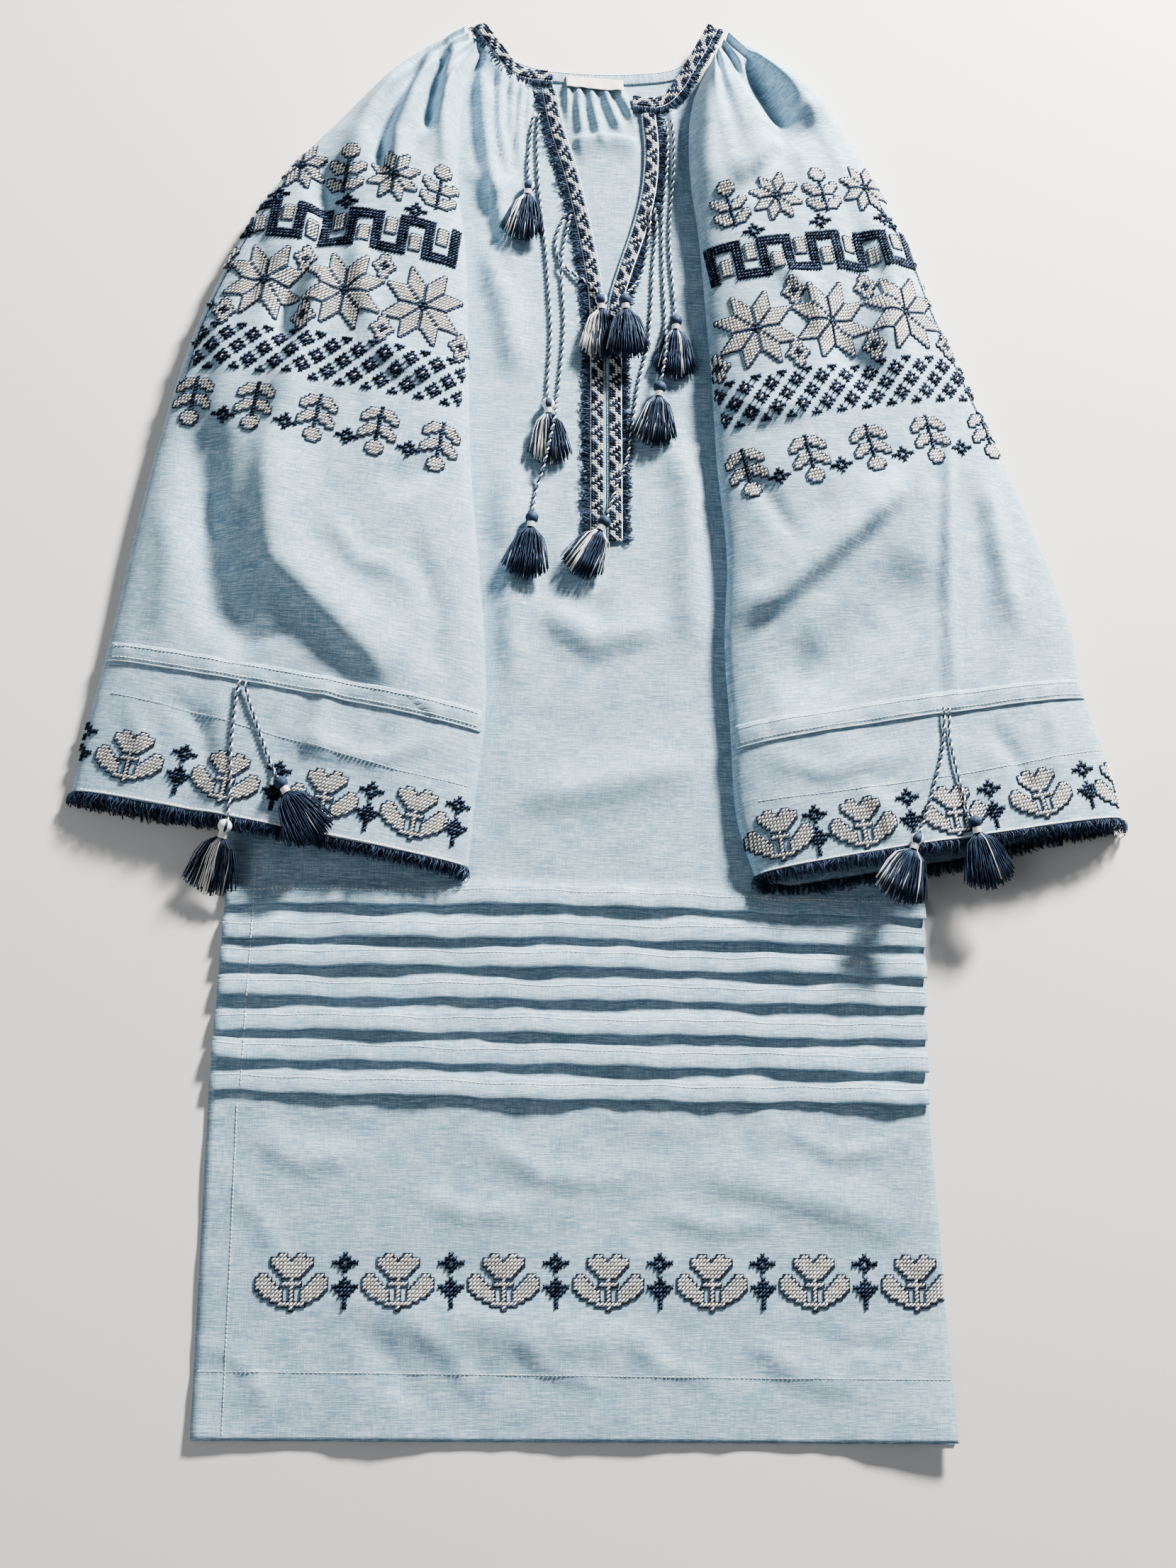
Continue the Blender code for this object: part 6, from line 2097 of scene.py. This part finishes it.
def tassel_ends(name, head, run):
    """Middle of a tassel's ball and middle of its lower end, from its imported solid."""
    verts, _ = node_surface("tassel_" + name)
    along = [(vert.to_2d() - head).dot(run) for vert in verts]
    far = max(along)
    low = [vert for vert, share in zip(verts, along) if share > far - LOWER_END]
    ball = [vert for vert, share in zip(verts, along) if share < 2.0 * HEAD_RADIUS]
    start = Vector([0.5 * (min(v[i] for v in ball) + max(v[i] for v in ball)) for i in range(3)])
    end = sum(low, Vector()) / len(low)
    return start, end


def skin(bm, rings, shade, cap=0):
    """Smooth faces from each ring of places to the next, and flat ones over both ends."""
    rings = [[bm.verts.new(place) for place in ring] for ring in rings]
    for ring, following in zip(rings, rings[1:]):
        for k in range(len(ring)):
            beside = (k + 1) % len(ring)
            face = bm.faces.new((ring[k], following[k], following[beside], ring[beside]))
            face.material_index = shade(k)
            face.smooth = True
    for ring in (rings[0], rings[-1][::-1]):
        bm.faces.new(ring).material_index = cap


def turned(profile, sides, frame_of, ribs=1, rib_depth=0.0):
    """Rings of a turned shape about a tassel's line, with threads as ribs down it."""
    rings = []
    for along, radius in profile:
        ring = []
        for k in range(sides):
            turn = math.tau * k / sides
            wide = radius * (1.0 + rib_depth * math.cos(ribs * turn))
            ring.append(frame_of(wide * math.cos(turn), along, wide * math.sin(turn)))
        rings.append(ring)
    return rings


def wind_ball(bm, frame_of, cream_turns):
    steps = [math.pi * (k + BALL_START) / BALL_SPAN for k in range(BALL_ROWS)]
    radius = HEAD_RADIUS * BALL_FULLER
    profile = [(-radius * math.cos(turn), radius * math.sin(turn)) for turn in steps]
    rings = turned(profile, BALL_SIDES, frame_of, BALL_THREADS, BALL_GROOVES)
    skin(bm, rings, lambda k: 1 if k % TURNS_COUNTED < cream_turns else 0)


def bind_neck(bm, frame_of):
    """The cream binding under the ball; gives where it ends."""
    base = HEAD_RADIUS * BOUND_FROM
    bound = []
    for k in range(BOUND_TURNS):
        thread = BOUND_RELIEF * math.sin(k * math.pi / 2.0)
        bound.append((base + k * BOUND_PITCH, BOUND_RADIUS + thread + BOUND_FLARE * k))
    skin(bm, turned(bound, BOUND_SIDES, frame_of), lambda k: 1)
    return bound[-1][0]


def skirt_thread(k, rng, reach, root, half):
    """Points down the middle of one thread of a tassel's skirt, which fans out and waves."""
    ring = math.sqrt((k + 0.5) / TASSEL_THREADS)
    sx, sz = ring * math.cos(k * GOLDEN_TURN), ring * math.sin(k * GOLDEN_TURN)
    long = reach * rng.uniform(*SKIRT_LENGTHS)
    wave = rng.uniform(-1.2, 1.2) * MM
    points = []
    for share in THREAD_SHARES:
        fan = share ** SKIRT_FAN
        x = sx * (SKIRT_ROOT + (half - SKIRT_ROOT) * fan) + wave * math.sin(5.0 * share)
        z = sz * (SKIRT_ROOT + (SKIRT_HALF_HEIGHT * SKIRT_FLAT - SKIRT_ROOT) * fan)
        z += 0.4 * wave * math.sin(7.0 * share)
        points.append((x, root - SKIRT_LAP + long * share * (1.0 - 0.20 * (sx * sx) * share), z))
    return points


def hang_skirt(bm, frame_of, rng, reach, root, half, cream_share):
    """The skirt of soft threads, three-sided, some of them cream."""
    lit = rng.uniform(-1.2, 1.2)
    turns = [math.tau * k / 3.0 for k in range(3)]
    for k in range(TASSEL_THREADS):
        turn = k * GOLDEN_TURN
        away = abs(math.atan2(math.sin(turn), math.cos(turn)) - lit - 0.9)
        cream = 1 if away < cream_share * CREAM_WEDGE or rng.random() < cream_share * CREAM_STRAY else 0
        points = skirt_thread(k, rng, reach, root, half)
        radius = THREAD_HALF * rng.uniform(*THREAD_FULLNESS)
        rings = [[frame_of(x + radius * math.cos(side), along, z + radius * math.sin(side)) for side in turns]
                 for x, along, z in points]
        skin(bm, rings, lambda _, shade=cream: shade, cream)


def make_tassel(name, route, lower_end, cream_share, seed):
    """A wound ball, a neck bound in cream, and a skirt of soft threads."""
    head = Vector(route[-1])
    ball, end = tassel_ends(name, head, (Vector(lower_end) - head).normalized())
    ball.z += risen(ball.x, ball.y, HEAD_RADIUS)
    end.z += max(risen(spot.x, spot.y, HEAD_RADIUS) for spot in (end, ball.lerp(end, 0.6)))
    down = (end - ball).normalized()
    across = down.cross(UP).normalized()
    rise = across.cross(down)

    def frame_of(x, along, z):
        return ball + across * x + down * along + rise * z

    def wind(bm):
        wind_ball(bm, frame_of, CREAM_ON_BALL.get(name, 0))
        root = bind_neck(bm, frame_of)
        reach = TASSEL_LONGER * (end - ball).length - root
        half = SKIRT_HALF_WIDTH * (CUFF_TASSEL_FULLER if name.startswith("cuff") else 1.0)
        hang_skirt(bm, frame_of, random.Random(seed), reach, root, half, cream_share)
        bmesh.ops.recalc_face_normals(bm, faces=bm.faces[:])

    mesh = mesh_of("tassel_" + name + "_threads", wind)
    keep_above_floor(mesh, 2.0 * FLOOR_GAP)
    drape(mesh)
    return add_piece(mesh.name, mesh, ("dress_navy_soft", "dress_cream"), ("tassel_" + name,))


def drape(mesh):
    """Lifts whatever of a tassel would lie inside the cloth under it."""
    for vert in mesh.vertices:
        found = drop_on(FINISHED, vert.co.x, vert.co.y)
        if found is not None:
            vert.co.z = max(vert.co.z, found[0].z + DRAPE_GAP)


def make_cord(name, route):
    """A drawstring of two plies, navy and cream, with its tassel on its end."""
    points = cord_points(name, route)
    mesh = run_tree(line_curve("line_" + name, points), tree_named("twisted_cord", cord_tree), {
        "Ply": CORD_WIDTH / 2.0 / PLY_SHARE, "Lay": CORD_LAY, "Step": CORD_STEP,
        "First": material("dress_navy"), "Second": material("dress_cream"),
    })
    mesh.name = "cord_" + name + "_twist"
    piece = add_piece(mesh.name, mesh, (), ("cord_" + name,))
    world = [point + HEM_MIDDLE for point in points]
    length = sum((b - a).length for a, b in zip(world, world[1:]))
    tuple(world[0])
    [tuple(point) for point in world]


def make_floor(stage):
    mesh = mesh_of("floor", lambda bm: bmesh.ops.create_grid(bm, x_segments=1, y_segments=1, size=FLOOR_HALF))
    mesh.materials.append(floor_material("stage_floor", stage.floor))
    floor = bpy.data.objects.new("floor", mesh)
    bpy.context.collection.objects.link(floor)


def make_light(name, place, size, power, colour):
    data = bpy.data.lights.new(name, "AREA")
    data.shape = "DISK"
    data.size = size
    data.energy = power
    data.color = colour
    light = bpy.data.objects.new(name, data)
    light.location = place
    light.rotation_euler = (-Vector(place)).to_track_quat("-Z", "Y").to_euler()
    bpy.context.collection.objects.link(light)


def make_sky(strength):
    world = bpy.data.worlds.new("studio")
    world.use_nodes = True
    ground = world.node_tree.nodes["Background"]
    ground.inputs["Color"].default_value = (0.93, 0.96, 1.0, 1.0)
    ground.inputs["Strength"].default_value = strength
    bpy.context.scene.world = world


def plane_axes():
    """Across and up of the level plane, as the camera sees them."""
    up = Vector((0.0, 1.0, 0.0))
    up = (up - PLANE_NORMAL * up.dot(PLANE_NORMAL)).normalized()
    across = up.cross(PLANE_NORMAL)
    cos, sin = math.cos(PLANE_TURN), math.sin(PLANE_TURN)
    return across * cos + up * sin, up * cos - across * sin


def make_camera():
    """The photograph's view: the hem's middle falls on its pixel, at the same tilt."""
    across, up = plane_axes()
    centre = (0.5 * PHOTO_SIZE[0], 0.5 * PHOTO_SIZE[1])
    ray = Vector(((HEM_PIXEL[0] - centre[0]) / FOCAL_PIXELS, (centre[1] - HEM_PIXEL[1]) / FOCAL_PIXELS, -1.0))
    hit = ray * (CAMERA_HEIGHT / -ray.dot(PLANE_NORMAL))
    columns = [Vector((across[i], up[i], PLANE_NORMAL[i])) for i in range(3)]
    turn = Matrix(columns).transposed()
    place = HEM_MIDDLE + Vector((-hit.dot(across), -hit.dot(up), CAMERA_HEIGHT))
    data = bpy.data.cameras.new("camera")
    data.sensor_fit = "VERTICAL"
    data.sensor_height = SENSOR_HEIGHT
    data.lens = SENSOR_HEIGHT * FOCAL_PIXELS / PHOTO_SIZE[1]
    camera = bpy.data.objects.new("camera", data)
    camera.matrix_world = Matrix.Translation(place) @ turn.to_4x4()
    bpy.context.collection.objects.link(camera)
    bpy.context.scene.camera = camera


class DRESS_OT_stage(bpy.types.Operator):
    """Set the floor, the soft light and the camera"""
    bl_idname = "dress.stage"
    bl_label = "Set the Stage"

    def execute(self, context):
        stage = context.scene.dress_stage
        make_camera()
        make_floor(stage)
        make_sky(stage.sky)
        for name, place, size, share, colour in LIGHTS:
            make_light(name, place, size, share * stage.key, colour)
        context.scene.view_settings.look = "AgX - High Contrast"
        return {"FINISHED"}


class DRESS_OT_cords(bpy.types.Operator):
    """Lay the twelve drawstrings with their tassels"""
    bl_idname = "dress.cords"
    bl_label = "Lay Cords and Tassels"

    def execute(self, context):
        seed = context.scene.dress_cloth.seed
        for packed, key in zip(PACKED, ("back_panel", "front_panel", "sleeve_left", "sleeve_right")):
            SURFACES[packed] = node_surface(key)[1]
        for k, (name, route, lower_end, cream) in enumerate(CORD_ROUTES):
            tassel = make_tassel(name, route, lower_end, cream, seed + k)
            make_cord(name, route)
        return {"FINISHED"}


class DRESS_OT_body(bpy.types.Operator):
    """Lay the back and the tucked front"""
    bl_idname = "dress.body"
    bl_label = "Lay Back and Front"

    def execute(self, context):
        make_back()
        make_front()
        return {"FINISHED"}


class DRESS_OT_sleeves(bpy.types.Operator):
    """Make the two full sleeves and their drawstring channels"""
    bl_idname = "dress.sleeves"
    bl_label = "Make Sleeves"

    def execute(self, context):
        for side, shift in (("left", 31), ("right", 37)):
            seed = context.scene.dress_cloth.seed + shift
            make_sleeve(side, seed)
            make_casing(side, seed)
        return {"FINISHED"}


class DRESS_OT_bands(bpy.types.Operator):
    """Sew on the neckbands, the V's trims and the blank label"""
    bl_idname = "dress.bands"
    bl_label = "Sew Bands and Label"

    def execute(self, context):
        # The back neckband wears the linen darkened as painted shade
        make_strip("neckband_back", NECKBAND_BACK, BACK_BAND_WIDTH, NECKBAND_THICK, "dress_linen_inside",
                   FLAT_BACK_BAND)
        for side in SIDES:
            make_strip("neckband_" + side, NECKBAND[side], NECKBAND_WIDTH, NECKBAND_THICK, "dress_linen",
                       NECKBAND_FLAT[side])
        for side in SIDES:
            rows = [row + (SLEEVE_BASE,) for row in TRIM[side]]
            make_strip("trim_" + side, rows, TRIM_WIDTH, BAND_THICK, "dress_linen",
                       FLAT_TRIM)
        pipe_edges()
        make_label()
        return {"FINISHED"}


class DRESS_OT_embroidery(bpy.types.Operator):
    """Work the cross-stitch of skirt, cuffs, sleeves and bands"""
    bl_idname = "dress.embroidery"
    bl_label = "Embroider"

    def execute(self, context):
        embroider_skirt()
        for maker, seeds in ((embroider_cuff, (31, 35)), (embroider_sleeve, (41, 45)),
                             (embroider_trim, (51, 54)), (embroider_neckband, (57, 59))):
            for side, seed in zip(SIDES, seeds):
                maker(side, seed)
        return {"FINISHED"}


class DRESS_OT_sewing(bpy.types.Operator):
    """Sew the lines of plain stitching that show"""
    bl_idname = "dress.sewing"
    bl_label = "Topstitch"

    def execute(self, context):
        sew_topstitches()
        return {"FINISHED"}


class DRESS_OT_fringe(bpy.types.Operator):
    """Fringe the cuffs, the V and the neckbands"""
    bl_idname = "dress.fringe"
    bl_label = "Fringe the Edges"

    def execute(self, context):
        for maker, seeds in ((make_cuff_fringe, (71, 72)), (make_trim_fringe, (73, 74)),
                             (make_band_fringe, (75, 76))):
            for side, seed in zip(SIDES, seeds):
                maker(side, seed)
        return {"FINISHED"}


class DRESS_PT_panel(bpy.types.Panel):
    """Lists the steps that dress the model, and what they can change"""
    bl_idname = "DRESS_PT_panel"
    bl_label = "Embroidered Linen Dress"
    bl_space_type = "VIEW_3D"
    bl_region_type = "UI"
    bl_category = "Dress"

    def draw(self, context):
        for group in (context.scene.dress_stage, context.scene.dress_cloth, context.scene.dress_thread):
            box = self.layout.box()
            for key in group.__annotations__:
                box.prop(group, key)
        for step in STEPS:
            self.layout.operator(step.bl_idname)


GROUPS = (("dress_stage", DressStage), ("dress_cloth", DressCloth), ("dress_thread", DressThread))
STEPS = (DRESS_OT_stage, DRESS_OT_body, DRESS_OT_sleeves, DRESS_OT_bands, DRESS_OT_cords,
         DRESS_OT_embroidery, DRESS_OT_sewing, DRESS_OT_fringe)


def register():
    for key, group in GROUPS:
        bpy.utils.register_class(group)
        setattr(bpy.types.Scene, key, PointerProperty(type=group))
    for step in STEPS:
        bpy.utils.register_class(step)
    bpy.utils.register_class(DRESS_PT_panel)


def unregister():
    bpy.utils.unregister_class(DRESS_PT_panel)
    for step in reversed(STEPS):
        bpy.utils.unregister_class(step)
    for key, group in reversed(GROUPS):
        delattr(bpy.types.Scene, key)
        bpy.utils.unregister_class(group)


def main():
    register()
    bpy.ops.dress.stage()
    bpy.ops.dress.body()
    bpy.ops.dress.sleeves()
    bpy.ops.dress.bands()
    bpy.ops.dress.cords()
    bpy.ops.dress.embroidery()
    bpy.ops.dress.sewing()
    bpy.ops.dress.fringe()


if __name__ == "__main__":
    main()
